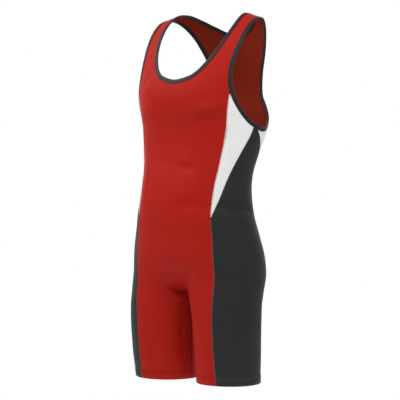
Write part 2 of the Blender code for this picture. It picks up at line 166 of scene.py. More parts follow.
BODY_RINGS = Table(
    ("z", "half_width", "side_y", "front", "back", "power"),
    (
        (-0.680, 0.1735, -0.0640, 0.109, 0.112, 2.2),
        (-0.652, 0.1730, -0.0590, 0.111, 0.115, 2.2),
        (-0.610, 0.1720, -0.0510, 0.114, 0.118, 2.2),
        (-0.560, 0.1675, -0.0525, 0.114, 0.114, 2.2),
        (-0.520, 0.1600, -0.0575, 0.108, 0.107, 2.2),
        (-0.475, 0.1500, -0.0620, 0.105, 0.101, 2.2),
        (-0.440, 0.1440, -0.0630, 0.102, 0.099, 2.2),
        (-0.402, 0.1410, -0.0610, 0.098, 0.096, 2.2),
        (-0.360, 0.1450, -0.0540, 0.094, 0.093, 2.2),
        (-0.315, 0.1560, -0.0450, 0.094, 0.098, 2.2),
        (-0.275, 0.1620, -0.0350, 0.101, 0.110, 2.2),
        (-0.235, 0.1640, -0.0360, 0.110, 0.126, 2.2),
        (-0.195, 0.1650, -0.0370, 0.115, 0.144, 2.2),
    ),
)
LEG_RINGS = Table(
    ("z", "middle_x", "half_width", "side_y", "half_depth"),
    (
        (-0.857, 0.0930, 0.0755, -0.0570, 0.0715),
        (-0.800, 0.0935, 0.0785, -0.0620, 0.0755),
        (-0.735, 0.0935, 0.0805, -0.0650, 0.0790),
        (-0.680, 0.0910, 0.0825, -0.0640, 0.0830),
        (-0.652, 0.0865, 0.0865, -0.0590, 0.0870),
        (-0.610, 0.0860, 0.0860, -0.0510, 0.0910),
        (-0.545, 0.0830, 0.0830, -0.0540, 0.0930),
    ),
)
FRONT_SEAM = Table(
    ("z", "x"),
    (
        (-0.857, 0.1120), (-0.800, 0.1120), (-0.735, 0.1120), (-0.670, 0.1135),
        (-0.610, 0.1150), (-0.555, 0.1135), (-0.475, 0.1070), (-0.430, 0.1070),
        (-0.382, 0.1095), (-0.291, 0.1220), (-0.186, 0.1360),
    ),
)
BACK_SEAM = Table(
    ("z", "x"),
    (
        (-0.857, 0.1060), (-0.735, 0.1070), (-0.670, 0.1100), (-0.610, 0.1140),
        (-0.555, 0.1125), (-0.475, 0.1060), (-0.382, 0.1070), (-0.300, 0.1235),
        (-0.252, 0.1337),
    ),
)
FRONT_INSERT_SEAM = Table(
    ("z", "angle"),
    (
        (-0.470, 44.2), (-0.416, 56.5), (-0.357, 65.0), (-0.310, 72.0),
        (-0.2640, 81.0),
    ),
)
BACK_INSERT_SEAM = Table(
    ("z", "angle"),
    (
        (-0.470, 136.4), (-0.420, 130.0), (-0.370, 125.0), (-0.330, 114.5),
        (-0.300, 103.0), (-0.270, 88.5),
    ),
)
NECK_FRONT = (
    (0.0, -0.1640), (15.0, -0.1545), (21.0, -0.1435), (25.0, -0.1310),
    (30.4, -0.1080), (35.5, -0.0750), (37.8, -0.0500), (38.8, -0.0280),
    (37.8, 0.0),
)
NECK_BACK = (
    (142.6, 0.0), (147.3, -0.0085), (154.6, -0.0230), (163.0, -0.0370),
    (171.0, -0.0475), (180.0, -0.0510),
)
ARMHOLE_FRONT_UPPER = (
    (54.0, 0.0), (52.2, -0.0610), (49.6, -0.1150), (50.4, -0.1520),
    (53.4, -0.1860),
)
ARMHOLE_FRONT_LOWER = (
    (53.4, -0.1860), (58.3, -0.2120), (64.8, -0.2360), (73.0, -0.2550),
    (81.0, -0.2640),
)
ARMHOLE_BACK_LOWER = (
    (88.5, -0.2700), (100.0, -0.2740), (110.0, -0.2715), (119.0, -0.2630),
    (127.0, -0.2520),
)
ARMHOLE_BACK_UPPER = (
    (127.0, -0.2520), (138.0, -0.2350), (149.0, -0.2130), (155.0, -0.1950),
    (156.8, -0.1680), (155.2, -0.1340), (151.6, -0.1030), (145.0, -0.0600),
    (135.5, -0.0180), (127.0, 0.0),
)


@dataclass(frozen=True)
class Place:
    """Place on the cloth's middle surface: its zone, angle in radians and level."""

    zone: Zone
    angle: float
    level: float

    def mix(self, other: "Place", share: float) -> "Place":
        """Place part of the way to another in the same zone."""
        angle = self.angle + (other.angle - self.angle) * share
        return Place(self.zone, angle, self.level + (other.level - self.level) * share)


def unit(vectors: np.ndarray) -> np.ndarray:
    """Vectors of length one."""
    return vectors / np.maximum(np.linalg.norm(vectors, axis=-1, keepdims=True), 1e-12)


def along_path(where: np.ndarray, lengths: np.ndarray, values: np.ndarray) -> np.ndarray:
    """Read three columns of values at distances along a path.

    Args:
        where: The wanted distances.
        lengths: The distance of each of the path's points.
        values: What the path holds at each point, one row each.

    Returns:
        One row for each wanted distance.
    """
    return np.stack([np.interp(where, lengths, values[:, k]) for k in range(3)], -1)


def run_lengths(points: np.ndarray) -> np.ndarray:
    """Length along a run of points, up to each of them."""
    steps = np.linalg.norm(np.diff(points, axis=0), axis=1)
    return np.concatenate(([0.0], np.cumsum(steps)))


class SingletForm:
    """The garment's form: where the cloth lies, and where its seams and edges run."""

    def __init__(self) -> None:
        """Find the places along every cut edge and seam."""
        strap = (FRONT_STRAP_ROWS - BUST_ROWS_BELOW_NECK) * FINER
        self.neck_front = self.cut_edge(NECK_FRONT, strap, level_start=True)
        self.neck_back = self.cut_edge(NECK_BACK, BACK_STRAP_ROWS * FINER, level_end=True)
        self.front_upper = self.cut_edge(ARMHOLE_FRONT_UPPER, FRONT_STRAP_ROWS * FINER)
        self.front_lower = self.cut_edge(ARMHOLE_FRONT_LOWER, INSERT_TOP_ROWS * FINER)
        self.back_lower = self.cut_edge(ARMHOLE_BACK_LOWER, INSERT_TOP_ROWS * FINER)
        rows = (BACK_CENTRE_ROWS + BACK_STRAP_ROWS) * FINER
        self.back_upper = self.cut_edge(ARMHOLE_BACK_UPPER, rows)
        tops = FINER * INSERT_TOP_ROWS + 1
        corner = self.front_lower[-1].level
        self.front_levels = list(np.linspace(corner, FRONT_SEAM.rows[-1][0], tops))
        self.back_levels = list(np.linspace(BACK_CORNER_ROW_Z, BACK_SEAM.rows[-1][0], tops))

    @staticmethod
    def round_point(angle: np.ndarray, power: np.ndarray) -> tuple[np.ndarray, np.ndarray]:
        """Find a point of a unit rounded square.

        Args:
            angle: Angle from the middle of the front, in radians.
            power: How square it is, where 2 is a circle.

        Returns:
            How far across and how far along the point is.
        """
        across, along = np.sin(angle), np.cos(angle)
        reach = (np.abs(across) ** power + np.abs(along) ** power) ** (1 / power)
        return across / reach, along / reach

    def body_ring(self, angle: np.ndarray, z: np.ndarray) -> np.ndarray:
        """Find points of the body below the bust level.

        Args:
            angle: Angle from the middle of the front, in radians.
            z: Height of each point.

        Returns:
            The points, one row each.
        """
        across, along = self.round_point(angle, BODY_RINGS.read(z, "power"))
        depth = np.where(along > 0, BODY_RINGS.read(z, "front"), BODY_RINGS.read(z, "back"))
        x = BODY_RINGS.read(z, "half_width") * across
        return np.stack((x, BODY_RINGS.read(z, "side_y") - depth * along, z + 0 * x), -1)

    @staticmethod
    def strap_top(x: np.ndarray) -> np.ndarray:
        """Height of the shoulder ridge, which falls away to the arm."""
        return STRAP_TOP_FALL * (STRAP_TOP_INNER_X**2 - x**2)

    def arch_shares(self, angle: np.ndarray, turn: np.ndarray) -> tuple[np.ndarray, np.ndarray]:
        """Find how far up the shoulder arch a turn is.

        Args:
            angle: Angle round the body, which tells front from back.
            turn: From 0 at the bust level to a quarter circle on top.

        Returns:
            The shares of the arch's rise and of its foot's depth.
        """
        front = np.asarray(angle) < QUARTER
        start = np.where(front, FRONT_ARCH_POWERS[0], BACK_ARCH_POWERS[0])
        end = np.where(front, FRONT_ARCH_POWERS[1], BACK_ARCH_POWERS[1])
        power = start + (end - start) * turn / QUARTER
        reach = np.clip(np.asarray(angle) / ARM_ANGLE, 0, 1)
        power = power - NECK_HOLLOW * np.where(front, 1 - reach**4, 0)
        return self.round_point(turn, power)

    def arch(self, angle: np.ndarray, turn: np.ndarray) -> np.ndarray:
        """Find points of the shoulders, above the bust level.

        Args:
            angle: Angle round the body, in radians.
            turn: From 0 at the bust level to a quarter circle on top.

        Returns:
            The points, one row each.
        """
        foot = self.body_ring(angle, np.full_like(turn, BUST_Z))
        rise, depth = self.arch_shares(angle, turn)
        height = BUST_Z + (self.strap_top(foot[..., 0]) - BUST_Z) * rise
        return np.stack((foot[..., 0], foot[..., 1] * depth, height), -1)

    @staticmethod
    def leg(angle: np.ndarray, z: np.ndarray) -> np.ndarray:
        """Find points of the left leg.

        Args:
            angle: -90 degrees at the inside, 0 in front and 90 outside, in radians.
            z: Height of each point.

        Returns:
            The points, one row each.
        """
        x = LEG_RINGS.read(z, "middle_x") + LEG_RINGS.read(z, "half_width") * np.sin(angle)
        y = LEG_RINGS.read(z, "side_y") - LEG_RINGS.read(z, "half_depth") * np.cos(angle)
        return np.stack((x, y, z + 0 * x), -1)

    @staticmethod
    def crotch(angle: np.ndarray, z: np.ndarray) -> np.ndarray:
        """Find points between hips and crotch, where one ring becomes two.

        Args:
            angle: Angle round the leg, in radians.
            z: Height of each point.

        Returns:
            The points, one row each.
        """
        half_width = BODY_RINGS.read(z, "half_width")
        power = BODY_RINGS.read(z, "power")
        half = half_width / 2
        x = half + half * np.sin(angle)
        across = np.minimum(x / half_width, 1)
        front = np.cos(angle) > 0
        outline = (1 - across**power) ** (1 / power)
        whole = outline * np.where(front, BODY_RINGS.read(z, "front"), BODY_RINGS.read(z, "back"))
        drop = np.clip((HIP_Z - z) / (HIP_Z - CROTCH_Z), 0, 1)
        rolled = x + (np.hypot(x, half * (1 - drop)) - x) * (1 - across) ** 2
        bulge = np.sqrt(np.maximum(1 - (rolled / half - 1) ** 2, 0))
        parted = LEG_RINGS.read(z, "half_depth") * bulge
        share = drop * drop * (3 - 2 * drop)
        depth = (1 - share) * whole + share * parted
        side = BODY_RINGS.read(z, "side_y")
        return np.stack((x, np.where(front, side - depth, side + depth), z + 0 * x), -1)

    def points(self, zone: Zone, angle: np.ndarray, level: np.ndarray) -> np.ndarray:
        """Find points of the cloth's middle surface.

        Args:
            zone: Rings that the places are measured on.
            angle: Angle of each place, in radians.
            level: Level of each place.

        Returns:
            The points, one row each.
        """
        angle, level = np.broadcast_arrays(np.asarray(angle, float), np.asarray(level, float))
        if zone is Zone.LEG:
            low = self.leg(angle, np.minimum(level, CROTCH_Z))
            high = self.crotch(angle, np.maximum(level, CROTCH_Z))
            return np.where((level <= CROTCH_Z)[..., None], low, high)
        result = self.upright(angle, level)
        spread = BUST_SOFTNESS * np.clip(BUST_FADE - np.abs(level - BUST_Z) / BUST_REACH, 0, 1)
        near = spread > 0
        if near.any():
            turns, levels, spread = angle[near], level[near], spread[near]
            result[near] = sum(
                weight * self.upright(turns, levels + step * spread) for step, weight in BUST_KERNEL
            )
        return result

    def upright(self, angle: np.ndarray, level: np.ndarray) -> np.ndarray:
        """Points of the body where the arch starts sharply at the bust level.

        Args:
            angle: Angles round the garment in radians.
            level: Levels along the cloth.

        Returns:
            The points, one row each.
        """
        low = self.body_ring(angle, np.minimum(level, BUST_Z))
        high = self.arch(angle, np.clip((level - BUST_Z) / ARCH_RISE, 0, QUARTER))
        return np.where((level <= BUST_Z)[..., None], low, high)

    def point(self, place: Place) -> np.ndarray:
        """Point of the cloth at one place."""
        return self.points(place.zone, place.angle, place.level)

    def normal(self, place: Place) -> np.ndarray:
        """Find the outward direction of the cloth at a place on the body.

        Args:
            place: Where to look.

        Returns:
            The direction, of length one.
        """
        step, top = NORMAL_STEP, BUST_Z + ARCH_RISE * QUARTER
        low = min(place.level, top) - step
        high = min(place.level + step, top)
        zone, angle = place.zone, place.angle
        across = self.points(zone, angle + step, low) - self.points(zone, angle - step, low)
        along = self.points(zone, angle, high) - self.points(zone, angle, low - step)
        return unit(np.cross(across, along))

    def edge_place(self, degrees: float, z: float) -> Place:
        """Turn an angle and a height into a place on the body.

        Args:
            degrees: Angle round the body.
            z: Height, where 0 is the strap top.

        Returns:
            The place.
        """
        angle = math.radians(degrees)
        if z <= BUST_Z:
            return Place(Zone.BODY, angle, z)
        top = float(self.strap_top(self.body_ring(np.array(angle), np.array(BUST_Z))[0]))
        rise = 1.0 if z == 0 else min((z - BUST_Z) / (top - BUST_Z), 1.0)
        low, high = 0.0, QUARTER
        for _ in range(HALVINGS):
            turn = (low + high) / 2
            if self.arch_shares(angle, turn)[0] < rise:
                low = turn
            else:
                high = turn
        return Place(Zone.BODY, angle, BUST_Z + ARCH_RISE * high)

    def cut_edge(
        self,
        rows: tuple[tuple[float, float], ...],
        count: int,
        level_start: bool = False,
        level_end: bool = False,
    ) -> list[Place]:
        """Lay a smooth cut edge through a table's rows.

        Args:
            rows: Angle in degrees and height of each corner of the edge.
            count: Number of equal steps along it.
            level_start: True where the edge crosses the middle line at its start.
            level_end: True where it crosses the middle line at its end.

        Returns:
            The places along the edge, count + 1 of them.
        """
        nodes = [self.edge_place(degrees, z) for degrees, z in rows]
        angles = [node.angle for node in nodes]
        levels = [node.level for node in nodes]
        keys = [0.0]
        for a, b in zip(nodes[:-1], nodes[1:]):
            keys.append(keys[-1] + float(np.linalg.norm(self.point(b) - self.point(a))))
        if level_start:
            keys = [-keys[1]] + keys
            angles = [2 * angles[0] - angles[1]] + angles
            levels = [levels[1]] + levels
        if level_end:
            keys.append(2 * keys[-1] - keys[-2])
            angles.append(2 * angles[-1] - angles[-2])
            levels.append(levels[-2])
        curve = Table(("key", "angle", "level"), tuple(zip(keys, angles, levels)))
        dense = np.linspace(0.0, keys[-2] if level_end else keys[-1], EDGE_SAMPLES + 1)
        dense_angles = curve.read(dense, "angle")
        dense_levels = curve.read(dense, "level")
        lengths = run_lengths(self.points(Zone.BODY, dense_angles, dense_levels))
        wanted = np.linspace(0, lengths[-1], count + 1)
        picked_angles = np.interp(wanted, lengths, dense_angles)
        picked_levels = np.interp(wanted, lengths, dense_levels)
        return [Place(Zone.BODY, float(a), float(b)) for a, b in zip(picked_angles, picked_levels)]

    @staticmethod
    def seam_place(seam: Table, z: float, face: Face) -> Place:
        """Find the place of a panel's side seam at a height.

        Args:
            seam: The seam's distance from the middle at each height.
            z: The height.
            face: Front or back of the garment.

        Returns:
            The place.
        """
        x = float(seam.read(z, "x"))
        if z >= HIP_Z:
            power = float(BODY_RINGS.read(z, "power"))
            across = x / float(BODY_RINGS.read(z, "half_width"))
            angle = math.atan2(across, (1 - across**power) ** (1 / power))
            return Place(Zone.BODY, math.pi - angle if face is Face.BACK else angle, z)
        if z <= CROTCH_Z:
            middle = float(LEG_RINGS.read(z, "middle_x"))
            half = float(LEG_RINGS.read(z, "half_width"))
        else:
            half = float(BODY_RINGS.read(z, "half_width")) / 2
            middle = half
        angle = math.asin((x - middle) / half)
        return Place(Zone.LEG, math.pi - angle if face is Face.BACK else angle, z)

    @staticmethod
    def middle_place(z: float, face: Face) -> Place:
        """Find the place of a panel's inner edge.

        Args:
            z: Height of the place.
            face: Front or back of the garment.

        Returns:
            The place, on the inseam of a leg or else on the middle line.
        """
        if z < HIP_Z:
            return Place(Zone.LEG, 3 * QUARTER if face is Face.BACK else -QUARTER, z)
        return Place(Zone.BODY, math.pi if face is Face.BACK else 0.0, z)

    @staticmethod
    def insert_place(seam: Table, z: float) -> Place:
        """Place of the seam between the side panel and an insert."""
        return Place(Zone.BODY, math.radians(float(seam.read(z, "angle"))), z)

    @staticmethod
    def refined(corners: list[float]) -> list[float]:
        """Levels with finer steps between them, without the last one."""
        steps = zip(corners[:-1], corners[1:])
        return [low + (high - low) * i / FINER for low, high in steps for i in range(FINER)]

    @staticmethod
    def common_levels() -> list[float]:
        """Find the heights of the rows that every panel shares.

        Returns:
            The heights, from the hem to below the armhole.
        """
        steps = CROTCH_STEPS * FINER
        turns = [QUARTER * (steps - i) / steps for i in range(steps)]
        levels = SingletForm.refined([*LEG_LEVELS, CROTCH_Z])
        levels += [HIP_Z - (HIP_Z - CROTCH_Z) * math.sin(turn) for turn in turns]
        return levels + SingletForm.refined([HIP_Z, *BODY_LEVELS]) + [BODY_LEVELS[-1]]

    def row(
        self, first: Place, second: Place, shares: np.ndarray, trims: tuple[float, float]
    ) -> np.ndarray:
        """Lay points along a row of the cloth.

        Args:
            first: Place at the row's start.
            second: Place at its end.
            shares: How far along the row each point is, from 0 to 1.
            trims: How much shorter the row is at each end.

        Returns:
            The points, exactly on the cloth's surface.
        """
        dense = np.linspace(0, 1, ROW_SAMPLES + 1)
        angles = first.angle + (second.angle - first.angle) * dense
        levels = first.level + (second.level - first.level) * dense
        lengths = run_lengths(self.points(first.zone, angles, levels))
        wanted = trims[0] + (lengths[-1] - trims[0] - trims[1]) * shares
        where = np.interp(wanted, lengths, dense)
        angles = first.angle + (second.angle - first.angle) * where
        levels = first.level + (second.level - first.level) * where
        return self.points(first.zone, angles, levels)


@dataclass(frozen=True)
class Crease:
    """One soft trough or ridge, from one place of the cloth to another."""

    zone: Zone
    hand: Hand
    start: tuple[float, float]
    end: tuple[float, float]
    depth: float
    width: float
    bow: float = 0.0

    def line(self, form: SingletForm) -> np.ndarray:
        """Find points along the crease.

        Args:
            form: The garment's form.

        Returns:
            The points, on the cloth.
        """
        share = np.linspace(0, 1, LINE_POINTS)
        degrees = self.start[0] + (self.end[0] - self.start[0]) * share
        level = self.start[1] + (self.end[1] - self.start[1]) * share
        degrees = degrees + self.bow * np.sin(math.pi * share)
        points = form.points(self.zone, np.radians(degrees), level)
        return points if self.hand is Hand.LEFT else points * MIRROR

    def offset(self, points: np.ndarray, form: SingletForm) -> np.ndarray:
        """Work out how far the crease moves the cloth.

        Args:
            points: Points of the cloth, one row each.
            form: The garment's form.

        Returns:
            The distance outwards at each point.
        """
        line = self.line(form)
        nearest = np.full(len(points), np.inf)
        along = np.zeros(len(points))
        for i, (a, b) in enumerate(zip(line[:-1], line[1:])):
            run = b - a
            t = np.clip((points - a) @ run / (run @ run), 0, 1)
            gap = np.linalg.norm(points - a - t[:, None] * run, axis=1)
            closer = gap < nearest
            nearest = np.where(closer, gap, nearest)
            along = np.where(closer, (i + t) / (len(line) - 1), along)
        q = (nearest / self.width) ** 2
        taper = np.sin(math.pi * np.clip(along, CREASE_END, 1 - CREASE_END)) ** CREASE_TAPER
        return self.depth * taper * (1 - CREASE_RIM * q) * np.exp(-q)


# How creases fade at their ends, and the low rim on both sides of one
CREASE_END = 0.02
CREASE_TAPER = 0.8
CREASE_RIM = 0.45

LEFT, RIGHT = Hand.LEFT, Hand.RIGHT
BODY, LEG = Zone.BODY, Zone.LEG
CREASES = (
    # Chest, waist and belly
    Crease(BODY, LEFT, (18, -0.229), (50, -0.213), 0.0062, 0.0190, 3),
    Crease(BODY, LEFT, (25, -0.247), (47, -0.238), -0.0034, 0.0150, 2),
    Crease(BODY, RIGHT, (15, -0.236), (47, -0.222), 0.0036, 0.0220, 2),
    Crease(BODY, RIGHT, (20, -0.254), (43, -0.244), -0.0016, 0.0160, 2),
    Crease(BODY, LEFT, (4, -0.349), (24, -0.364), -0.0048, 0.0115, -2),
    Crease(BODY, LEFT, (18, -0.276), (16, -0.342), 0.0020, 0.0110, 1),
    Crease(BODY, LEFT, (14, -0.386), (36, -0.404), 0.0022, 0.0170, 2),
    Crease(BODY, RIGHT, (2, -0.352), (20, -0.340), -0.0020, 0.0130, 2),
    Crease(BODY, LEFT, (6, -0.440), (47, -0.450), -0.0042, 0.0140, 2),
    Crease(BODY, LEFT, (34, -0.476), (52, -0.484), 0.0016, 0.0140, 1),
    Crease(BODY, RIGHT, (36, -0.285), (37, -0.470), 0.0022, 0.0150, 1),
    Crease(BODY, RIGHT, (30, -0.330), (50, -0.350), -0.0008, 0.014, 2),
    Crease(BODY, LEFT, (30, -0.120), (44, -0.185), -0.0010, 0.013, -3),
    Crease(BODY, RIGHT, (31, -0.130), (45, -0.190), -0.0009, 0.012, -2),
    Crease(BODY, LEFT, (28, -0.420), (12, -0.470), -0.0007, 0.016, 2),
    Crease(BODY, RIGHT, (24, -0.430), (10, -0.500), -0.0008, 0.018, 3),
    Crease(BODY, RIGHT, (48, -0.400), (44, -0.520), 0.0012, 0.016, 1),
    # Sides and waist
    Crease(BODY, LEFT, (62, -0.395), (96, -0.408), -0.0012, 0.012, 3),
    Crease(BODY, LEFT, (49, -0.444), (108, -0.456), -0.0080, 0.0095, -2),
    Crease(BODY, LEFT, (56, -0.474), (96, -0.482), 0.0030, 0.0150, 2),
    Crease(BODY, RIGHT, (60, -0.400), (98, -0.415), -0.0013, 0.012, 2),
    Crease(BODY, RIGHT, (78, -0.372), (110, -0.380), -0.0007, 0.010, 3),
    # Back
    Crease(BODY, LEFT, (140, -0.395), (174, -0.385), -0.0018, 0.014, 2),
    Crease(BODY, RIGHT, (136, -0.405), (172, -0.398), -0.0015, 0.013, -2),
    Crease(BODY, LEFT, (146, -0.430), (168, -0.424), -0.0011, 0.012, 1),
    Crease(BODY, RIGHT, (150, -0.368), (176, -0.362), -0.0010, 0.012, 1),
    Crease(BODY, LEFT, (150, -0.250), (166, -0.300), -0.0011, 0.014, 2),
    Crease(BODY, RIGHT, (152, -0.245), (168, -0.310), -0.0012, 0.014, 3),
    Crease(BODY, LEFT, (158, -0.470), (152, -0.530), -0.0009, 0.016, 1),
    # Crotch and tops of the thighs
    Crease(LEG, RIGHT, (-85, -0.660), (-36, -0.630), -0.0070, 0.0120, 2),
    Crease(LEG, RIGHT, (-80, -0.628), (-34, -0.606), 0.0026, 0.0140, 2),
    Crease(LEG, LEFT, (-78, -0.636), (-10, -0.590), -0.0020, 0.012, 4),
    Crease(LEG, LEFT, (-58, -0.664), (4, -0.640), -0.0010, 0.011, 3),
    Crease(LEG, LEFT, (252, -0.650), (190, -0.640), -0.0022, 0.013, 3),
    Crease(LEG, RIGHT, (254, -0.648), (186, -0.634), -0.0020, 0.013, 4),
    Crease(LEG, LEFT, (244, -0.672), (204, -0.668), -0.0010, 0.010, 2),
    # Down the legs
    Crease(LEG, RIGHT, (-70, -0.664), (-73, -0.842), -0.0028, 0.0080, 2),
    Crease(LEG, RIGHT, (-48, -0.690), (-54, -0.820), 0.0008, 0.012, -2),
    Crease(LEG, LEFT, (-52, -0.668), (-54, -0.852), -0.0040, 0.0170, 1),
    Crease(LEG, LEFT, (58, -0.640), (64, -0.800), -0.0010, 0.014, -2),
    Crease(LEG, LEFT, (98, -0.690), (92, -0.820), -0.0009, 0.013, 2),
    Crease(LEG, RIGHT, (66, -0.660), (70, -0.810), -0.0010, 0.013, 2),
    Crease(LEG, RIGHT, (104, -0.640), (98, -0.760), -0.0009, 0.014, -2),
    Crease(LEG, LEFT, (206, -0.690), (200, -0.820), -0.0011, 0.012, 3),
    Crease(LEG, RIGHT, (212, -0.680), (204, -0.800), -0.0013, 0.011, -2),
)


@dataclass(frozen=True)
class Ripple:
    """A faint unevenness: its height, and two waves by their rates along x, y, z and start."""

    height: float
    first: tuple[float, float, float, float]
    second: tuple[float, float, float, float]

    def offset(self, points: np.ndarray) -> np.ndarray:
        """Distance outwards at each point."""
        first, second = (points @ np.array(w[:3]) + w[3] for w in (self.first, self.second))
        return self.height * np.sin(first) * np.sin(second)


RIPPLES = (
    Ripple(0.00028, (47, 0, 31, 0.7), (0, 29, -41, 1.9)),
    Ripple(0.00016, (83, 0, -57, 2.1), (0, 71, 64, 0.0)),
)


@dataclass
class Creases:
    """All the soft creases of the cloth, the same for every piece."""

    form: SingletForm

    def offset(self, points: np.ndarray) -> np.ndarray:
        """Add up what the creases and the cloth's slight unevenness do.

        Args:
            points: Points of the cloth, one row each.

        Returns:
            The distance outwards at each point.
        """
        total = np.zeros(len(points))
        for crease in CREASES:
            total += crease.offset(points, self.form)
        for ripple in RIPPLES:
            total += ripple.offset(points)
        return total


# A spot inside the garment, which tells outwards from inwards
INSIDE = (0.0, -0.05)
HEM_ROUNDING = 0.45


@dataclass
class ClothGrid:
    """Points of one stretch of cloth in rows, with their outward directions."""

    points: np.ndarray
    outward: np.ndarray = field(init=False)

    def __post_init__(self) -> None:
        """Find the outward directions."""
        across = np.gradient(self.points, axis=1)
        along = np.gradient(self.points, axis=0)
        normals = unit(np.cross(across, along))
        aim = self.points[..., :2] - np.array(INSIDE)
        if np.mean(np.sum(normals[..., :2] * aim, axis=-1)) < 0:
            normals = -normals
        middle = np.abs(self.points[..., 0]) < ON_MIDDLE
        normals[middle, 0] = 0
        self.outward = unit(normals)

    def mirrored(self) -> "ClothGrid":
        """Mirror the cloth.

        Returns:
            The same cloth on the other side of the garment.
        """
        other = ClothGrid(self.points * MIRROR)
        other.outward = self.outward * MIRROR
        return other

    def crease(self, creases: Creases, dips: np.ndarray) -> None:
        """Move the cloth by its creases and by the dip beside its seams.

        Args:
            creases: The garment's creases.
            dips: Distance outwards at each point of the grid, from the seams.
        """
        flat = self.points.reshape(-1, 3)
        moved = creases.offset(flat).reshape(self.points.shape[:2]) + dips
        self.points = self.points + self.outward * moved[..., None]

    def hemmed(self, rows: int, depth: float) -> "ClothGrid":
        """Turn the cloth under at its first row and run it up inside.

        Args:
            rows: How many rows the hem is deep.
            depth: Distance from the outer layer to the inner one.

        Returns:
            The cloth with its hem.
        """
        inner = self.points[rows:0:-1] - self.outward[rows:0:-1] * depth
        turned = self.points[:1] - self.outward[:1] * depth
        drop = np.array((0, 0, depth * HEM_ROUNDING))
        edge = self.points[:1] - self.outward[:1] * depth / 2 - drop
        folded = ClothGrid(np.concatenate((inner, turned, edge, self.points)))
        down = np.broadcast_to(np.array((0.0, 0.0, -1.0)), self.outward[:1].shape)
        inward = (-self.outward[rows:0:-1], -self.outward[:1])
        folded.outward = np.concatenate((*inward, down, self.outward))
        return folded


@dataclass(frozen=True)
class SeamLine:
    """A seam's path: its points, the cloth's outward directions and the way to the cloth."""

    points: np.ndarray
    outward: np.ndarray
    inward: np.ndarray

    @staticmethod
    def beside(grid: ClothGrid, column: int, neighbour: int, rows: slice) -> "SeamLine":
        """Take a seam's path from the edge of a grid.

        Args:
            grid: The cloth beside the seam.
            column: The grid's column on the seam.
            neighbour: A column a little inside it.
            rows: The rows that the seam runs past.

        Returns:
            The path.
        """
        points = grid.points[rows, column]
        inward = unit(grid.points[rows, neighbour] - points)
        return SeamLine(points, grid.outward[rows, column], inward)


def make_group(
    name: str, inputs: dict[str, tuple[str, object]], outputs: dict[str, str]
) -> bpy.types.NodeTree:
    """Start a shader node group with named sockets.

    Args:
        name: The group's name.
        inputs: Socket type and starting value of each input.
        outputs: Socket type of each output.

    Returns:
        The group, with its input and output nodes.
    """
    group = bpy.data.node_groups.new(name, "ShaderNodeTree")
    for label, (kind, value) in inputs.items():
        socket = group.interface.new_socket(label, in_out="INPUT", socket_type=kind)
        socket.default_value = value
    for label, kind in outputs.items():
        group.interface.new_socket(label, in_out="OUTPUT", socket_type=kind)
    group.nodes.new("NodeGroupInput").name = "in"
    group.nodes.new("NodeGroupOutput").name = "out"
    return group


def add_node(
    tree: bpy.types.NodeTree, kind: str, inputs: dict[str | int, object], **settings: str
) -> bpy.types.Node:
    """Add a shader node.

    Args:
        tree: Where it goes.
        kind: Its type.
        inputs: Starting values of its sockets.
        **settings: Its options.

    Returns:
        The node.
    """
    node = tree.nodes.new(kind)
    for label, value in settings.items():
        setattr(node, label, value)
    for label, value in inputs.items():
        node.inputs[label].default_value = value
    return node


def knit_group() -> bpy.types.NodeTree:
    """Build the stretch knit's surface: faint mottling, fine wales and uneven sheen.

    Returns:
        A group that puts out the colour, the roughness and the height.
    """
    number, colour = "NodeSocketFloat", "NodeSocketColor"
    inputs = {
        "Colour": (colour, (0.5, 0.5, 0.5, 1)),
        "Shade Colour": (colour, (0.4, 0.4, 0.4, 1)),
        "Mottle": (number, 0.3),
        "Roughness": (number, 0.6),
    }
    outputs = {"Colour": colour, "Roughness": number, "Height": number}
    group = make_group("knit_surface", inputs, outputs)
    source, sink = group.nodes["in"].outputs, group.nodes["out"].inputs
    place = add_node(group, "ShaderNodeTexCoord", {}).outputs
    cloud = add_node(group, "ShaderNodeTexNoise", {"Scale": 34.0, "Detail": 4.0})
    spread = add_node(group, "ShaderNodeMath", {}, operation="MULTIPLY")
    blend = add_node(group, "ShaderNodeMix", {}, data_type="RGBA")
    rough = add_node(group, "ShaderNodeMath", {1: 0.12}, operation="MULTIPLY_ADD")
    wave = "ShaderNodeTexWave"
    wales = add_node(group, wave, {"Scale": 260.0, "Distortion": 0.6}, bands_direction="X")
    courses = add_node(group, wave, {"Scale": 340.0}, bands_direction="Y")
    loops = add_node(group, "ShaderNodeMath", {}, operation="MULTIPLY")
    for start, end in (
        (place["Object"], cloud.inputs["Vector"]),
        (cloud.outputs["Fac"], spread.inputs[0]),
        (source["Mottle"], spread.inputs[1]),
        (spread.outputs[0], blend.inputs["Factor"]),
        (source["Colour"], blend.inputs["A"]),
        (source["Shade Colour"], blend.inputs["B"]),
        (blend.outputs["Result"], sink["Colour"]),
        (cloud.outputs["Fac"], rough.inputs[0]),
        (source["Roughness"], rough.inputs[2]),
        (rough.outputs[0], sink["Roughness"]),
        (place["UV"], wales.inputs["Vector"]),
        (place["UV"], courses.inputs["Vector"]),
        (wales.outputs["Fac"], loops.inputs[0]),
        (courses.outputs["Fac"], loops.inputs[1]),
        (loops.outputs[0], sink["Height"]),
    ):
        group.links.new(start, end)
    return group


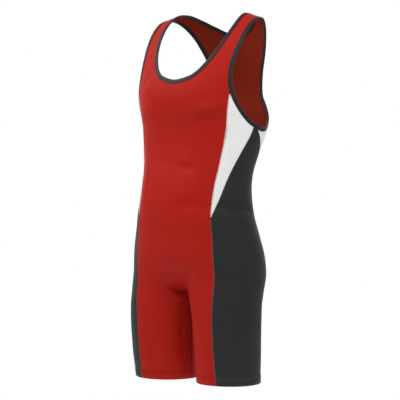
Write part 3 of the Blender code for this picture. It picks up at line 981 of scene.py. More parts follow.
@dataclass(frozen=True)
class KnitFinish:
    """Finish of a stretch knit or of its thread."""

    name: str
    colour: tuple[float, float, float]
    shade: tuple[float, float, float]
    roughness: float
    sheen: float = 0.0
    specular: float = 0.3
    sheen_tint: tuple[float, float, float] = (1.0, 1.0, 1.0)
    sheen_roughness: float = 0.4
    mottle: float = 0.35
    relief: float = 0.00006
    relief_strength: float = 0.3

    def build(self, group: bpy.types.NodeTree) -> bpy.types.Material:
        """Make the material.

        Args:
            group: The knit's surface.

        Returns:
            The material.
        """
        material = bpy.data.materials.new(self.name)
        material.use_nodes = True
        tree = material.node_tree
        shader = tree.nodes["Principled BSDF"].inputs
        knit = tree.nodes.new("ShaderNodeGroup")
        knit.node_tree = group
        knit.inputs["Colour"].default_value = (*self.colour, 1)
        knit.inputs["Shade Colour"].default_value = (*self.shade, 1)
        knit.inputs["Mottle"].default_value = self.mottle
        knit.inputs["Roughness"].default_value = self.roughness
        size = {"Distance": self.relief, "Strength": self.relief_strength}
        bump = add_node(tree, "ShaderNodeBump", size)
        tree.links.new(knit.outputs["Colour"], shader["Base Color"])
        tree.links.new(knit.outputs["Roughness"], shader["Roughness"])
        tree.links.new(knit.outputs["Height"], bump.inputs["Height"])
        tree.links.new(bump.outputs["Normal"], shader["Normal"])
        shader["Sheen Weight"].default_value = self.sheen
        shader["Sheen Tint"].default_value = (*self.sheen_tint, 1)
        shader["Sheen Roughness"].default_value = self.sheen_roughness
        shader["Specular IOR Level"].default_value = self.specular
        return material


RED_KNIT = KnitFinish(
    "red_knit", (0.412, 0.0142, 0.0086), (0.346, 0.0120, 0.0071), 0.50, 0.035, 0.06, (1, 0.26, 0.2)
)
# The finishes of the inner faces are rougher, as the back of a knit is, and darker than the outer
# knit as painted shade inside the garment
RED_SHADED_REVERSE = KnitFinish(
    "red_knit_reverse", (0.250, 0.0215, 0.0090), (0.205, 0.0175, 0.0070), 0.70, 0.0, 0.03
)
BLACK_KNIT = KnitFinish(
    "black_knit", (0.0232, 0.0254, 0.0248), (0.0160, 0.0175, 0.0170), 0.50, 0.03, 0.16
)
BLACK_SHADED_REVERSE = KnitFinish(
    "black_knit_reverse", (0.0150, 0.0160, 0.0155), (0.0120, 0.0130, 0.0125), 0.70, 0.0, 0.05
)
WHITE_KNIT = KnitFinish(
    "white_knit", (0.88, 0.885, 0.875), (0.78, 0.79, 0.785), 0.60, 0.04, 0.15
)
WHITE_SHADED_REVERSE = KnitFinish(
    "white_knit_reverse", (0.66, 0.655, 0.64), (0.58, 0.575, 0.565), 0.75, 0.0, 0.05
)
BINDING_KNIT = KnitFinish(
    "binding_knit", (0.0150, 0.0122, 0.0115), (0.0085, 0.0072, 0.0068), 0.48, 0.04, 0.30
)
PALE_THREAD = KnitFinish(
    "pale_thread", (0.92, 0.80, 0.71), (0.84, 0.68, 0.60), 0.55, specular=0.15
)
GREY_THREAD = KnitFinish(
    "grey_thread", (0.30, 0.135, 0.125), (0.22, 0.10, 0.09), 0.55, specular=0.10
)
RED_THREAD = KnitFinish(
    "red_thread", (0.23, 0.0090, 0.0070), (0.18, 0.0075, 0.0060), 0.55, specular=0.10
)
DARK_THREAD = KnitFinish(
    "dark_thread", (0.19, 0.193, 0.190), (0.13, 0.133, 0.130), 0.55, specular=0.15
)
BLACK_THREAD = KnitFinish(
    "black_thread", (0.0085, 0.0080, 0.0080), (0.0070, 0.0065, 0.0065), 0.55, specular=0.15
)


@dataclass
class Wardrobe:
    """The materials of every finish, made once."""

    group: bpy.types.NodeTree = field(default_factory=knit_group)
    made: dict[str, bpy.types.Material] = field(default_factory=dict)

    def material(self, finish: KnitFinish) -> bpy.types.Material:
        """Take a finish's material, or make it.

        Args:
            finish: The finish.

        Returns:
            The material.
        """
        if finish.name not in self.made:
            self.made[finish.name] = finish.build(self.group)
        return self.made[finish.name]


@dataclass(frozen=True)
class ClothCut:
    """Flat size of a piece as it is cut."""

    width: float
    length: float
    area: float | None = None
    held: str = "stretched"


BODY_CUTS = {Face.FRONT: ClothCut(0.41, 0.86, 0.200), Face.BACK: ClothCut(0.43, 0.88, 0.200)}
INSERT_CUTS = {
    Face.FRONT: ClothCut(0.080, 0.285, 0.0088),
    Face.BACK: ClothCut(0.070, 0.215, 0.0060),
}
SIDE_CUT = ClothCut(0.24, 0.62, 0.104)


def take_mesh(shape: bmesh.types.BMesh, name: str) -> bpy.types.Mesh:
    """Turn a finished shape into a mesh.

    Args:
        shape: The shape, which is freed.
        name: The mesh's name.

    Returns:
        The mesh.
    """
    mesh = bpy.data.meshes.new(name)
    shape.to_mesh(mesh)
    shape.free()
    return mesh


@dataclass
class Tailor:
    """Makes the visible objects from grids, bands and stitches."""

    wardrobe: Wardrobe = field(default_factory=Wardrobe)
    wall: float = 0.0011
    join_distance: float = 0.00001

    def place_object(
        self, name: str, mesh: bpy.types.Mesh, finish: KnitFinish, slot: str
    ) -> bpy.types.Object:
        """Link a mesh as a piece of the garment.

        Args:
            name: The piece's name.
            mesh: Its mesh.
            finish: Its finish.
            slot: The record's material slot; not used.

        Returns:
            The object.
        """
        item = bpy.data.objects.new(name, mesh)
        bpy.context.scene.collection.objects.link(item)
        item.data.materials.append(self.wardrobe.material(finish))
        item.data.shade_smooth()
        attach(item, "root")
        LOG.info("%s: %d faces", name, len(mesh.polygons))
        return item

    def cloth(
        self,
        name: str,
        grids: list[ClothGrid],
        finish: KnitFinish,
        shaded_reverse: KnitFinish,
        node: str,
        cut: ClothCut,
    ) -> bpy.types.Object:
        """Build a cloth piece with a thin wall from its grids.

        Args:
            name: The piece's name.
            grids: Its grids of points, which may share the middle line.
            finish: Its finish.
            shaded_reverse: The finish of the cloth's inner face, rougher and darker than the outer
                face; the darkness is painted shade inside the garment.
            node: The solid that it stands for.
            cut: Its flat size; not used.

        Returns:
            The object.
        """
        shape = bmesh.new()
        layer = shape.loops.layers.uv.new("cloth")
        for grid in grids:
            rows, columns = grid.points.shape[:2]
            corners = [[shape.verts.new(point) for point in row] for row in grid.points]
            centre_row = run_lengths(grid.points[:, columns // 2])
            across = np.array([run_lengths(row) for row in grid.points])
            outward = Vector(grid.outward[rows // 2, columns // 2])
            for i in range(rows - 1):
                for j in range(columns - 1):
                    spots = [(i, j), (i, j + 1), (i + 1, j + 1), (i + 1, j)]
                    face = shape.faces.new([corners[a][b] for a, b in spots])
                    for loop, (a, b) in zip(face.loops, spots):
                        loop[layer].uv = (across[a, b], centre_row[a])
            face = corners[rows // 2][columns // 2].link_faces[0]
            face.normal_update()
            if face.normal.dot(outward) < 0:
                faces = {f for row in corners for v in row for f in v.link_faces}
                bmesh.ops.reverse_faces(shape, faces=list(faces))
        middle = [v for v in shape.verts if abs(v.co.x) < ON_MIDDLE]
        bmesh.ops.remove_doubles(shape, verts=middle, dist=self.join_distance)
        item = self.place_object(name, take_mesh(shape, name), finish, frame_slot(node))
        wall = item.modifiers.new("wall", "SOLIDIFY")
        wall.thickness = self.wall
        wall.offset = 0.0
        # The inner face takes the darker inner finish, which is partly painted shade
        item.data.materials.append(self.wardrobe.material(shaded_reverse))
        wall.material_offset = 1
        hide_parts(node)
        return item

    def stitches(
        self, name: str, runs: list["StitchRun"], finish: KnitFinish, slot: str
    ) -> bpy.types.Object:
        """Build rows of stitches as one piece.

        Args:
            name: The piece's name.
            runs: The rows of stitches.
            finish: The thread's finish.
            slot: The record's material slot, passed on to place_object.

        Returns:
            The object.
        """
        built = [run.build() for run in runs]
        vertices = np.concatenate([item for item in built if len(item)])
        count = len(vertices) // len(STITCH_SHAPE)
        bases = range(0, count * len(STITCH_SHAPE), len(STITCH_SHAPE))
        faces = [tuple(base + k for k in face) for base in bases for face in STITCH_FACES]
        mesh = bpy.data.meshes.new(name)
        mesh.from_pydata([tuple(v) for v in vertices], [], faces)
        mesh.update()
        return self.place_object(name, mesh, finish, slot)


def frame_slot(node: str) -> str:
    """Look up a node's material slot.

    Args:
        node: The node's name.

    Returns:
        The slot that the record gives it.
    """
    for part in frame["record"]["subparts"]:
        if part["node"] == node:
            return part["material_slot"]
    raise KeyError(node)


# A stitch is a short rounded bar, with a ring of four corners near each end
STITCH_TIP = (0.5, 0.0, -0.4)
STITCH_RING = 0.3
STITCH_SHAPE = np.array(
    [(-STITCH_TIP[0], *STITCH_TIP[1:])]
    + [
        (end * STITCH_RING, math.cos(k * QUARTER), math.sin(k * QUARTER))
        for end in (-1, 1)
        for k in range(4)
    ]
    + [STITCH_TIP]
)
STITCH_FACES = (
    [(0, 1 + (i + 1) % 4, 1 + i) for i in range(4)]
    + [(1 + i, 1 + (i + 1) % 4, 5 + (i + 1) % 4, 5 + i) for i in range(4)]
    + [(9, 5 + i, 5 + (i + 1) % 4) for i in range(4)]
)


@dataclass(frozen=True)
class Stitch:
    """Sizes of one kind of stitch."""

    pitch: float
    length: float
    radius: float = 0.00030
    slant: float = 0.0


PLAIN = Stitch(0.0031, 0.0026)
INSERT_COVER = Stitch(0.0012, 0.0030, 0.00036, 1.25)
SIDE_COVER = Stitch(0.0013, 0.0026, 0.00034, 1.25)
INSIDE_COVER = Stitch(0.0019, 0.0046, 0.00028, 1.15)
ON_BINDING = Stitch(0.0030, 0.0024)


@dataclass(frozen=True)
class StitchRun:
    """A row of stitches along a seam line, a distance aside and above the cloth."""

    line: SeamLine
    aside: float
    lift: float
    kind: Stitch = PLAIN
    closed: bool = False
    reach: float = 0.3

    def build(self) -> np.ndarray:
        """Lay the stitches.

        Returns:
            The vertices of every stitch, in the order of the stitch shape.
        """
        line, kind = self.line, self.kind
        path = line.points + line.inward * self.aside + line.outward * self.lift
        outward = line.outward
        if self.closed:
            path = np.concatenate((path, path[:1]))
            outward = np.concatenate((outward, outward[:1]))
        lengths = run_lengths(path)
        count = max(int(lengths[-1] / kind.pitch), 1)
        middles = (np.arange(count) + 0.5) * lengths[-1] / count
        spots = along_path(middles, lengths, path)
        step = kind.pitch * self.reach
        after = along_path(np.minimum(middles + step, lengths[-1]), lengths, path)
        before = along_path(np.maximum(middles - step, 0), lengths, path)
        ahead = unit(after - before)
        up = unit(along_path(middles, lengths, outward))
        side = unit(np.cross(ahead, up))
        if kind.slant:
            turn = kind.slant * np.where(np.arange(count) % 2, 1.0, -1.0)[:, None]
            ahead, side = (
                ahead * np.cos(turn) + side * np.sin(turn),
                side * np.cos(turn) - ahead * np.sin(turn),
            )
        shape = STITCH_SHAPE
        reach = kind.length * shape[None, :, 0, None] * ahead[:, None]
        width = kind.radius * shape[None, :, 1, None] * side[:, None]
        height = kind.radius * shape[None, :, 2, None] * up[:, None]
        return (spots[:, None] + reach + width + height).reshape(-1, 3)


# How many puckers there are round a hem, and in how many groups they come
PUCKERS = 52
PUCKER_GROUPS = 5


@dataclass
class Panel:
    """What the body panels and the side pieces share: spacing, seams and hems."""

    form: SingletForm
    creases: Creases
    tailor: Tailor
    trim: float = 0.00004
    seam_dip: float = 0.00045
    dip_reach: float = 0.0022
    hem_layer: float = 0.0013
    hem_rise: float = 0.0195
    hem_thickness: float = 0.00055
    hem_edge: float = 0.0012
    groove_depth: float = 0.0004
    groove_width: float = 0.0016
    pucker_rise: float = 0.018
    pucker_width: float = 0.010
    pucker_height: float = 0.00022
    shortest_row: float = 0.02
    edge_steps: tuple[float, ...] = (0.0, 0.0011, 0.0024, 0.0045)

    def row_shares(self, length: float, columns: int, seams: tuple[bool, bool]) -> np.ndarray:
        """Space the points of a row, closer together beside a seam.

        Args:
            length: The row's length.
            columns: Number of points between the seams' own.
            seams: Whether there is a seam at the start and at the end.

        Returns:
            How far along the row each point is, from 0 to 1.
        """
        steps = np.array(self.edge_steps) / max(length, self.shortest_row)
        start = steps if seams[0] else steps[:1]
        end = 1 - (steps if seams[1] else steps[:1])[::-1]
        inner = np.linspace(start[-1], end[0], columns + 2)[1:-1]
        return np.concatenate((start, inner, end))

    def rows(
        self, ends: list[tuple[Place, Place]], columns: int, seams: tuple[bool, bool]
    ) -> ClothGrid:
        """Build the grid between two runs of places.

        Args:
            ends: First and last place of each row.
            columns: Number of points between the seams' own.
            seams: Whether there is a seam at the rows' start and at their end.

        Returns:
            The grid.
        """
        lines = []
        for first, second in ends:
            whole = self.form.row(first, second, np.linspace(0, 1, LINE_POINTS), (0.0, 0.0))
            shares = self.row_shares(float(run_lengths(whole)[-1]), columns, seams)
            lines.append(self.form.row(first, second, shares, (self.trim, self.trim)))
        return ClothGrid(np.array(lines))

    def dips(self, grid: ClothGrid, seams: tuple[bool, bool]) -> np.ndarray:
        """Work out the dip of the cloth beside its seams.

        Args:
            grid: The cloth.
            seams: Whether there is a seam at the rows' start and at their end.

        Returns:
            Distance outwards at each point.
        """
        steps = np.linalg.norm(np.diff(grid.points, axis=1), axis=2)
        first = np.concatenate((np.zeros((len(steps), 1)), np.cumsum(steps, axis=1)), axis=1)
        last = first[:, -1:] - first
        total = np.zeros(grid.points.shape[:2])
        for used, gap in zip(seams, (first, last)):
            if used:
                total -= self.seam_dip * np.exp(-((gap / self.dip_reach) ** 2))
        return total

    def hem_pucker(self, grid: ClothGrid) -> np.ndarray:
        """Work out the thicker hem and its slight puckers.

        Args:
            grid: The cloth, with its first row at the hem.

        Returns:
            Distance outwards at each point.
        """
        rise = grid.points[..., 2] - HEM_Z
        across = np.abs(grid.points[..., 0]) - LEG_MIDDLE_X
        angle = np.arctan2(grid.points[..., 1] - LEG_MIDDLE_Y, across)
        past = rise - self.hem_rise
        step = self.hem_thickness / (1 + np.exp(past / self.hem_edge))
        groove = -self.groove_depth * np.exp(-((past / self.groove_width) ** 2))
        near = np.exp(-(((rise - self.pucker_rise) / self.pucker_width) ** 2))
        wave = np.sin(PUCKERS * angle + 2.0 * np.sin(PUCKER_GROUPS * angle))
        return step + groove + self.pucker_height * near * wave

    def strip(
        self, ends: list[tuple[Place, Place]], columns: int, hand: Hand, hem: bool
    ) -> ClothGrid:
        """Build a creased grid that has a seam along both sides.

        Args:
            ends: First and last place of each row, on the left side.
            columns: Number of points between the seams' own.
            hand: The side of the garment that it is for.
            hem: Whether its first row is at the hem.

        Returns:
            The grid.
        """
        seams = (True, True)
        grid = self.rows(ends, columns, seams)
        if hand is Hand.RIGHT:
            grid = grid.mirrored()
        dips = self.dips(grid, seams)
        grid.crease(self.creases, dips + self.hem_pucker(grid) if hem else dips)
        return grid


@dataclass
class BodyPanel(Panel):
    """The front or the back panel, both halves in one piece."""

    face: Face = Face.FRONT
    columns: int = 40
    halves: dict[Hand, ClothGrid] = field(default_factory=dict)

    @property
    def seam(self) -> Table:
        """The panel's side seam."""
        return FRONT_SEAM if self.face is Face.FRONT else BACK_SEAM

    def ends(self) -> list[tuple[Place, Place]]:
        """Find where each row of the left half starts and stops.

        Returns:
            The outer and the inner place of each row, from the hem to the shoulder.
        """
        form, face = self.form, self.face
        if face is Face.FRONT:
            levels, neck, arm = form.front_levels, form.neck_front, form.front_upper[::-1]
            below = BUST_ROWS_BELOW_NECK * FINER
        else:
            levels, neck, arm = form.back_levels, form.neck_back[::-1], form.back_upper
            below = BACK_CENTRE_ROWS * FINER
        low = form.common_levels() + levels
        climb = list(np.linspace(levels[-1], neck[0].level, below + 1))[1:]
        outer = [form.seam_place(self.seam, z, face) for z in low] + arm[1:]
        inner = [form.middle_place(z, face) for z in low + climb] + neck[1:]
        return list(zip(outer, inner))

    def build(self, finish: KnitFinish) -> bpy.types.Object:
        """Build and dress the panel.

        Args:
            finish: The cloth's finish.

        Returns:
            The object.
        """
        seams = (True, False)
        half = self.rows(self.ends(), self.columns, seams)
        above = half.points[:, -1, 2] > CROTCH_Z - NEAR_MIDDLE
        half.points[above & (np.abs(half.points[:, -1, 0]) < NEAR_MIDDLE), -1, 0] = 0.0
        half = ClothGrid(half.points)
        dips = self.dips(half, seams) + self.hem_pucker(half)
        self.halves = {Hand.LEFT: half, Hand.RIGHT: half.mirrored()}
        for grid in self.halves.values():
            grid.crease(self.creases, dips)
        shown = [grid.hemmed(FINER, self.hem_layer) for grid in self.halves.values()]
        name, cut = f"{self.face.value}_panel", BODY_CUTS[self.face]
        return self.tailor.cloth(f"{name}_cloth", shown, finish, RED_SHADED_REVERSE, name, cut)

    def seam_line(self, hand: Hand, low: float, high: float) -> SeamLine:
        """Find the path of the side seam between two heights.

        Args:
            hand: Side of the garment.
            low: The lower height.
            high: The upper height.

        Returns:
            The path.
        """
        grid = self.halves[hand]
        z = grid.points[:, 0, 2]
        top = len(self.form.common_levels()) + INSERT_TOP_ROWS * FINER
        kept = np.flatnonzero((z[:top] >= low) & (z[:top] <= high))
        return SeamLine.beside(grid, 0, 2, slice(kept[0], kept[-1] + 1))

    def inseam_line(self, hand: Hand) -> SeamLine:
        """Find the path of the seam inside a leg.

        Args:
            hand: Side of the garment.

        Returns:
            The path, from the hem to the crotch.
        """
        grid = self.halves[hand]
        rows = int(np.sum(np.array(self.form.common_levels()) <= CROTCH_Z))
        return SeamLine.beside(grid, -1, -2, slice(0, rows))


def hem_path(grid: ClothGrid, rise: float) -> SeamLine:
    """Lay a path across a grid at a height above the hem.

    Args:
        grid: The cloth, with its first row at the hem.
        rise: Height above the hem.

    Returns:
        The path, from one side of the cloth to the other.
    """
    levels = grid.points[:, 0, 2] - HEM_Z
    row = max(int(np.searchsorted(levels, rise)), 1)
    share = (rise - levels[row - 1]) / (levels[row] - levels[row - 1])
    points = grid.points[row - 1] * (1 - share) + grid.points[row] * share
    outward = unit(grid.outward[row - 1] * (1 - share) + grid.outward[row] * share)
    return SeamLine(points, outward, np.zeros_like(points))


@dataclass
class SidePanel(Panel):
    """The black panel down one side, from the armhole to the hem."""

    hand: Hand = Hand.LEFT
    columns: int = 36
    grid: ClothGrid | None = None

    def build(self, finish: KnitFinish) -> bpy.types.Object:
        """Build and dress the panel.

        Args:
            finish: The cloth's finish.

        Returns:
            The object.
        """
        form = self.form
        levels = form.common_levels()
        ends = [
            (form.seam_place(FRONT_SEAM, z, Face.FRONT), form.seam_place(BACK_SEAM, z, Face.BACK))
            if z < INSERT_TIP_Z
            else (form.insert_place(FRONT_INSERT_SEAM, z), form.insert_place(BACK_INSERT_SEAM, z))
            for z in levels
        ]
        last, top = ends[-1], (form.front_lower[-1], form.back_lower[0])
        for share in np.arange(1, FINER + 1) / FINER:
            ends.append((last[0].mix(top[0], share), last[1].mix(top[1], share)))
        self.grid = self.strip(ends, self.columns, self.hand, hem=True)
        shown = [self.grid.hemmed(FINER, self.hem_layer)]
        name = f"side_panel_{self.hand.word}"
        return self.tailor.cloth(f"{name}_cloth", shown, finish, BLACK_SHADED_REVERSE, name, SIDE_CUT)

    def seam_line(self, face: Face, low: float, high: float) -> SeamLine:
        """Find the path of one of the panel's seams between two heights.

        Args:
            face: Front or back seam.
            low: The lower height.
            high: The upper height.

        Returns:
            The path.
        """
        column, neighbour = (0, 2) if face is Face.FRONT else (-1, -3)
        z = self.grid.points[:, column, 2]
        kept = np.flatnonzero((z >= low) & (z <= high))
        return SeamLine.beside(self.grid, column, neighbour, slice(kept[0], kept[-1] + 1))


@dataclass
class Insert(Panel):
    """A white insert between a body panel and the side panel."""

    hand: Hand = Hand.LEFT
    face: Face = Face.FRONT
    columns: int = 8
    tip_share: float = 0.2

    def ends(self) -> list[tuple[Place, Place]]:
        """Find where each row of the left insert starts and stops.

        Returns:
            The place on the body panel's seam and the one opposite, for each row.
        """
        form, face = self.form, self.face
        if face is Face.FRONT:
            seam, other, levels = FRONT_SEAM, FRONT_INSERT_SEAM, form.front_levels
            arm = form.front_lower[::-1]
        else:
            seam, other, levels = BACK_SEAM, BACK_INSERT_SEAM, form.back_levels
            arm = form.back_lower
        shared = [z for z in form.common_levels() if z >= INSERT_TIP_Z - 0.00001]
        pairs = [(form.seam_place(seam, z, face), form.insert_place(other, z)) for z in shared]
        last = pairs[-1]
        first = (form.seam_place(seam, levels[0], face), arm[0])
        for i in range(1, FINER):
            pairs.append((last[0].mix(first[0], i / FINER), last[1].mix(first[1], i / FINER)))
        pairs += [(form.seam_place(seam, z, face), place) for z, place in zip(levels, arm)]
        tip = self.tip_share
        pairs[0] = tuple(pairs[0][k].mix(pairs[1][k], tip) for k in (0, 1))
        pairs[-1] = tuple(pairs[-2][k].mix(pairs[-1][k], 1 - tip) for k in (0, 1))
        return pairs

    def build(self, finish: KnitFinish) -> bpy.types.Object:
        """Build and dress the insert.

        Args:
            finish: The cloth's finish.

        Returns:
            The object.
        """
        grids = [self.strip(self.ends(), self.columns, self.hand, hem=False)]
        name, cut = f"{self.face.value}_insert_{self.hand.word}", INSERT_CUTS[self.face]
        return self.tailor.cloth(f"{name}_cloth", grids, finish, WHITE_SHADED_REVERSE, name, cut)


@dataclass
class Binding:
    """A folded elastic binding round an opening."""

    form: SingletForm
    creases: Creases
    tailor: Tailor
    width: float = 0.0092
    lap: float = 0.0014
    thickness: float = 0.0030
    flat_width: float = 0.012
    swell: float = 0.05
    swell_pitch: float = 0.0085
    line: SeamLine | None = None

    def section(self) -> np.ndarray:
        """Draw the folded strip's outline.

        Returns:
            Distance out from the cut edge and height of each corner.
        """
        half, lap = self.thickness / 2, self.lap
        upper = (
            (-lap, 0.62), (-lap + 0.0004, 0.92), (0.0009, 0.98), (0.0016, 0.80), (0.0024, 0.98),
            (0.0045, 1.0), (0.0066, 0.92), (0.0080, 0.80), (0.0088, 0.52), (self.width, 0.0),
        )
        points = [(out, up * half) for out, up in upper]
        return np.array(points + [(out, -up) for out, up in points[-2::-1]])

    def build(
        self, name: str, node: str, places: list[Place], hand: Hand | None, finish: KnitFinish
    ) -> bpy.types.Object:
        """Build and dress the binding.

        Args:
            name: The piece's name.
            node: The solid that it stands for.
            places: Places of the cut edge on the left side, in order.
            hand: The side it is on, or None where it runs round both halves.
            finish: The binding's finish.

        Returns:
            The object.
        """
        points = np.array([self.form.point(place) for place in places])
        outward = np.array([self.form.normal(place) for place in places])
        if hand is None:
            points = np.concatenate((points, (points[1:-1] * MIRROR)[::-1]))
            outward = np.concatenate((outward, (outward[1:-1] * MIRROR)[::-1]))
        along = np.roll(points, -1, axis=0) - np.roll(points, 1, axis=0)
        side = unit(np.cross(along, outward))
        if hand is Hand.RIGHT:
            points, outward, side = points * MIRROR, outward * MIRROR, side * MIRROR
        points = points + outward * self.creases.offset(points)[:, None]
        self.line = SeamLine(points, outward, side)
        count = len(points)
        length = float(run_lengths(np.concatenate((points, points[:1])))[-1])
        where = np.arange(count) / count * length
        section = self.section()
        turns = where * 2 * math.pi / self.swell_pitch + 1.5 * np.sin(where * 31)
        swell = 1 + self.swell * np.sin(turns)
        ring = (
            points[:, None]
            + side[:, None] * section[None, :, :1]
            + outward[:, None] * section[None, :, 1:] * swell[:, None, None]
        )
        size = len(section)
        shape = bmesh.new()
        layer = shape.loops.layers.uv.new("cloth")
        corners = [[shape.verts.new(point) for point in row] for row in ring]
        around = run_lengths(np.concatenate((section, section[:1])))
        for i in range(count):
            for j in range(size):
                k, m = (i + 1) % count, (j + 1) % size
                four = (corners[i][j], corners[i][m], corners[k][m], corners[k][j])
                face = shape.faces.new(four)
                ends = ((j, i), (j + 1, i), (j + 1, i + 1), (j, i + 1))
                for loop, (a, b) in zip(face.loops, ends):
                    loop[layer].uv = (around[a], b * length / count)
        bmesh.ops.recalc_face_normals(shape, faces=shape.faces)
        mesh = take_mesh(shape, name)
        item = self.tailor.place_object(name, mesh, finish, frame_slot(node))
        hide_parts(node)
        return item


@dataclass(frozen=True)
class Lamp:
    """A soft box that faces the garment, placed by its angles in degrees."""

    name: str
    azimuth: float
    elevation: float
    distance: float
    size: tuple[float, float]
    power: float

    def hang(self, middle: Vector) -> None:
        """Hang the lamp.

        Args:
            middle: The spot that it faces.
        """
        data = bpy.data.lights.new(self.name, "AREA")
        data.shape = "RECTANGLE"
        data.size, data.size_y = self.size
        data.energy = self.power
        item = bpy.data.objects.new(self.name, data)
        turn, rise = math.radians(self.azimuth), math.radians(self.elevation)
        flat = math.cos(rise)
        away = Vector((math.sin(turn) * flat, -math.cos(turn) * flat, math.sin(rise)))
        item.location = middle + away * self.distance
        item.rotation_euler = (-away).to_track_quat("-Z", "Y").to_euler()
        bpy.context.scene.collection.objects.link(item)


LAMPS = (
    Lamp("key_left", -46.0, 43.0, 1.55, (0.9, 0.9), 13.0),
    Lamp("fill_right", 68.0, 37.0, 1.65, (0.8, 0.9), 8.4),
    Lamp("top", 12.0, 54.0, 1.9, (1.3, 1.3), 4.2),
    Lamp("edge_left", -106.0, 14.0, 2.4, (0.9, 1.8), 7.0),
    Lamp("back_soft", 196.0, 20.0, 3.0, (2.4, 2.4), 20.0),
)


@dataclass
class Studio:
    """Pale floor, soft light and the camera."""

    middle: tuple[float, float, float] = (0, -0.04, -0.43)
    floor_radius: float = 2.2
    floor_z: float = -1.36
    floor_tone: float = 0.93
    floor_glow: float = 0.30
    ambient: float = 0.43
    azimuth: float = 39.0
    distance: float = 4.4
    sensor: float = 36.0
    frame_width: float = 0.94
    camera_z: float = -0.2444
    target_z: float = -0.437
    target_aside: float = 0.0047
    far: float = 30.0

    def build(self) -> None:
        """Set up the whole studio."""
        self.floor()
        self.world()
        for lamp in LAMPS:
            lamp.hang(Vector(self.middle))
        self.camera()

    def floor(self) -> None:
        """Lay the pale floor, well below the hems."""
        shape = bmesh.new()
        bmesh.ops.create_circle(shape, cap_ends=True, segments=96, radius=self.floor_radius)
        item = bpy.data.objects.new("floor", take_mesh(shape, "floor"))
        item.location = (0, 0, self.floor_z)
        bpy.context.scene.collection.objects.link(item)
        material = bpy.data.materials.new("pale_floor")
        material.use_nodes = True
        shader = material.node_tree.nodes["Principled BSDF"]
        shader.inputs["Base Color"].default_value = (*[self.floor_tone] * 3, 1)
        shader.inputs["Roughness"].default_value = 0.8
        shader.inputs["Emission Color"].default_value = (1, 1, 1, 1)
        shader.inputs["Emission Strength"].default_value = self.floor_glow
        item.data.materials.append(material)

    def world(self) -> None:
        """Light the room evenly, in front of a white background."""
        world = bpy.data.worlds.new("studio")
        bpy.context.scene.world = world
        world.use_nodes = True
        tree = world.node_tree
        tree.nodes.clear()
        white, background = (1, 1, 1, 1), "ShaderNodeBackground"
        soft = add_node(tree, background, {"Color": white, "Strength": self.ambient})
        behind = add_node(tree, background, {"Color": white})
        path = add_node(tree, "ShaderNodeLightPath", {})
        mix = add_node(tree, "ShaderNodeMixShader", {})
        out = add_node(tree, "ShaderNodeOutputWorld", {})
        tree.links.new(path.outputs["Is Camera Ray"], mix.inputs[0])
        tree.links.new(soft.outputs[0], mix.inputs[1])
        tree.links.new(behind.outputs[0], mix.inputs[2])
        tree.links.new(mix.outputs[0], out.inputs["Surface"])

    def camera(self) -> None:
        """Place the camera at the photograph's viewing angle."""
        turn = math.radians(self.azimuth)
        away = Vector((math.sin(turn), -math.cos(turn), 0))
        aside = Vector((math.cos(turn), math.sin(turn), 0))
        x, y = self.middle[:2]
        data = bpy.data.cameras.new("camera")
        data.sensor_width = self.sensor
        data.lens = self.sensor * self.distance / self.frame_width
        data.clip_end = self.far
        item = bpy.data.objects.new("camera", data)
        item.location = Vector((x, y, self.camera_z)) + away * self.distance
        target = Vector((x, y, self.target_z)) - aside * self.target_aside
        item.rotation_euler = (target - item.location).to_track_quat("-Z", "Y").to_euler()
        bpy.context.scene.collection.objects.link(item)
        bpy.context.scene.camera = item
        bpy.context.scene.view_settings.view_transform = "Standard"


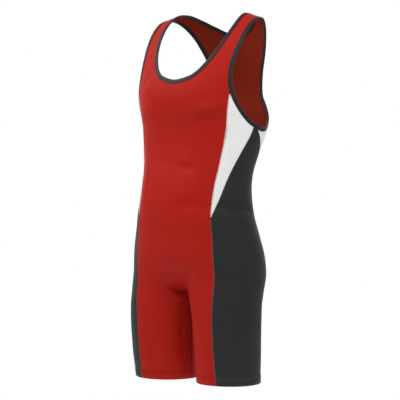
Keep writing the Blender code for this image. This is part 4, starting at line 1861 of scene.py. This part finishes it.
@dataclass
class Singlet:
    """The whole garment, with the places of its stitches."""

    lift: float = 0.0009
    binding_lift: float = 0.0013
    binding_aside: float = 0.0016
    edge_aside: float = 0.0012
    twin: float = 0.0010
    inseam_twin: float = 0.0011
    hem_rises: tuple[float, float] = (0.0192, 0.0146)

    def __post_init__(self) -> None:
        """Make the form, the creases and the tools that every piece uses."""
        self.form = SingletForm()
        self.tailor = Tailor()
        kit = (self.form, Creases(self.form), self.tailor)
        self.panels = {face: BodyPanel(*kit, face=face) for face in Face}
        self.sides = {hand: SidePanel(*kit, hand=hand) for hand in Hand}
        self.inserts = [Insert(*kit, hand=hand, face=face) for face in Face for hand in Hand]
        self.neck = Binding(*kit)
        self.armholes = {hand: Binding(*kit) for hand in Hand}

    def build_cloth(self) -> None:
        """Build every panel and insert."""
        for panel in self.panels.values():
            panel.build(RED_KNIT)
        for side in self.sides.values():
            side.build(BLACK_KNIT)
        for insert in self.inserts:
            insert.build(WHITE_KNIT)

    def build_bindings(self) -> None:
        """Build the bindings of the neck and of both armholes."""
        form = self.form
        places = form.neck_back[::-1] + form.neck_front[::-1][1:]
        self.neck.build("neck_binding_fold", "neck_binding", places, None, BINDING_KNIT)
        last, first = form.front_lower[-1], form.back_lower[0]
        under = [last.mix(first, i / FINER) for i in range(1, FINER)]
        around = form.front_upper + form.front_lower[1:] + under
        around += form.back_lower + form.back_upper[1:-1]
        for hand, binding in self.armholes.items():
            name = f"armhole_binding_{hand.word}"
            binding.build(f"{name}_fold", name, around[::-1], hand, BINDING_KNIT)

    def twins(self, line: SeamLine, gap: float) -> list[StitchRun]:
        """Two plain rows of stitches, one on each side of a seam."""
        return [StitchRun(line, aside, self.lift) for aside in (gap, -gap)]

    def build_stitching(self) -> None:
        """Sew the seams, hems and bindings."""
        above, below = self.lift, -self.lift
        cream, grey, black, red, dark = [], [], [], [], []
        for hand in Hand:
            side = self.sides[hand]
            for panel in self.panels.values():
                line = panel.seam_line(hand, INSERT_TIP_Z, 0.0)
                cream += self.twins(line, self.twin)
                cream += [StitchRun(line, -0.0004, above, INSERT_COVER)]
                grey += [StitchRun(line, 0.0, below, INSIDE_COVER)]
                line = panel.seam_line(hand, HEM_Z, INSERT_TIP_Z)
                grey += self.twins(line, self.twin)
                grey += [StitchRun(line, 0.0002, above, SIDE_COVER)]
                grey += [StitchRun(line, 0.0, below, INSIDE_COVER)]
            inseam = self.panels[Face.FRONT].inseam_line(hand)
            red += self.twins(inseam, self.inseam_twin)
            for rise in self.hem_rises:
                hems = [hem_path(panel.halves[hand], rise) for panel in self.panels.values()]
                red += [StitchRun(line, 0.0, above) for line in hems]
                dark += [StitchRun(hem_path(side.grid, rise), 0.0, above)]
            for face in Face:
                line = side.seam_line(face, INSERT_TIP_Z, 0.0)
                dark += [StitchRun(line, self.edge_aside, above)]
                dark += [StitchRun(line, 0.0, below, INSIDE_COVER)]
            black += self.binding_runs(self.armholes[hand])
        black += self.binding_runs(self.neck)
        for name, runs, finish, slot in (
            ("insert_seam_thread", cream, PALE_THREAD, "white_knit"),
            ("side_seam_thread", grey, GREY_THREAD, "red_knit"),
            ("red_hem_thread", red, RED_THREAD, "red_knit"),
            ("black_hem_thread", dark, DARK_THREAD, "black_knit"),
            ("binding_thread", black, BLACK_THREAD, "binding_knit"),
        ):
            self.tailor.stitches(name, runs, finish, slot)

    def binding_runs(self, binding: Binding) -> list[StitchRun]:
        """Lay rows of stitches on both faces of a binding.

        Args:
            binding: The binding.

        Returns:
            The rows.
        """
        line, aside, lift = binding.line, self.binding_aside, self.binding_lift
        return [StitchRun(line, aside, side, ON_BINDING, closed=True) for side in (lift, -lift)]


def main() -> None:
    """Build the garment and the studio."""
    logging.basicConfig(level=logging.INFO, format="%(message)s")
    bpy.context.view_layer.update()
    singlet = Singlet()
    singlet.build_cloth()
    singlet.build_bindings()
    singlet.build_stitching()
    Studio().build()


if __name__ == "__main__":
    main()
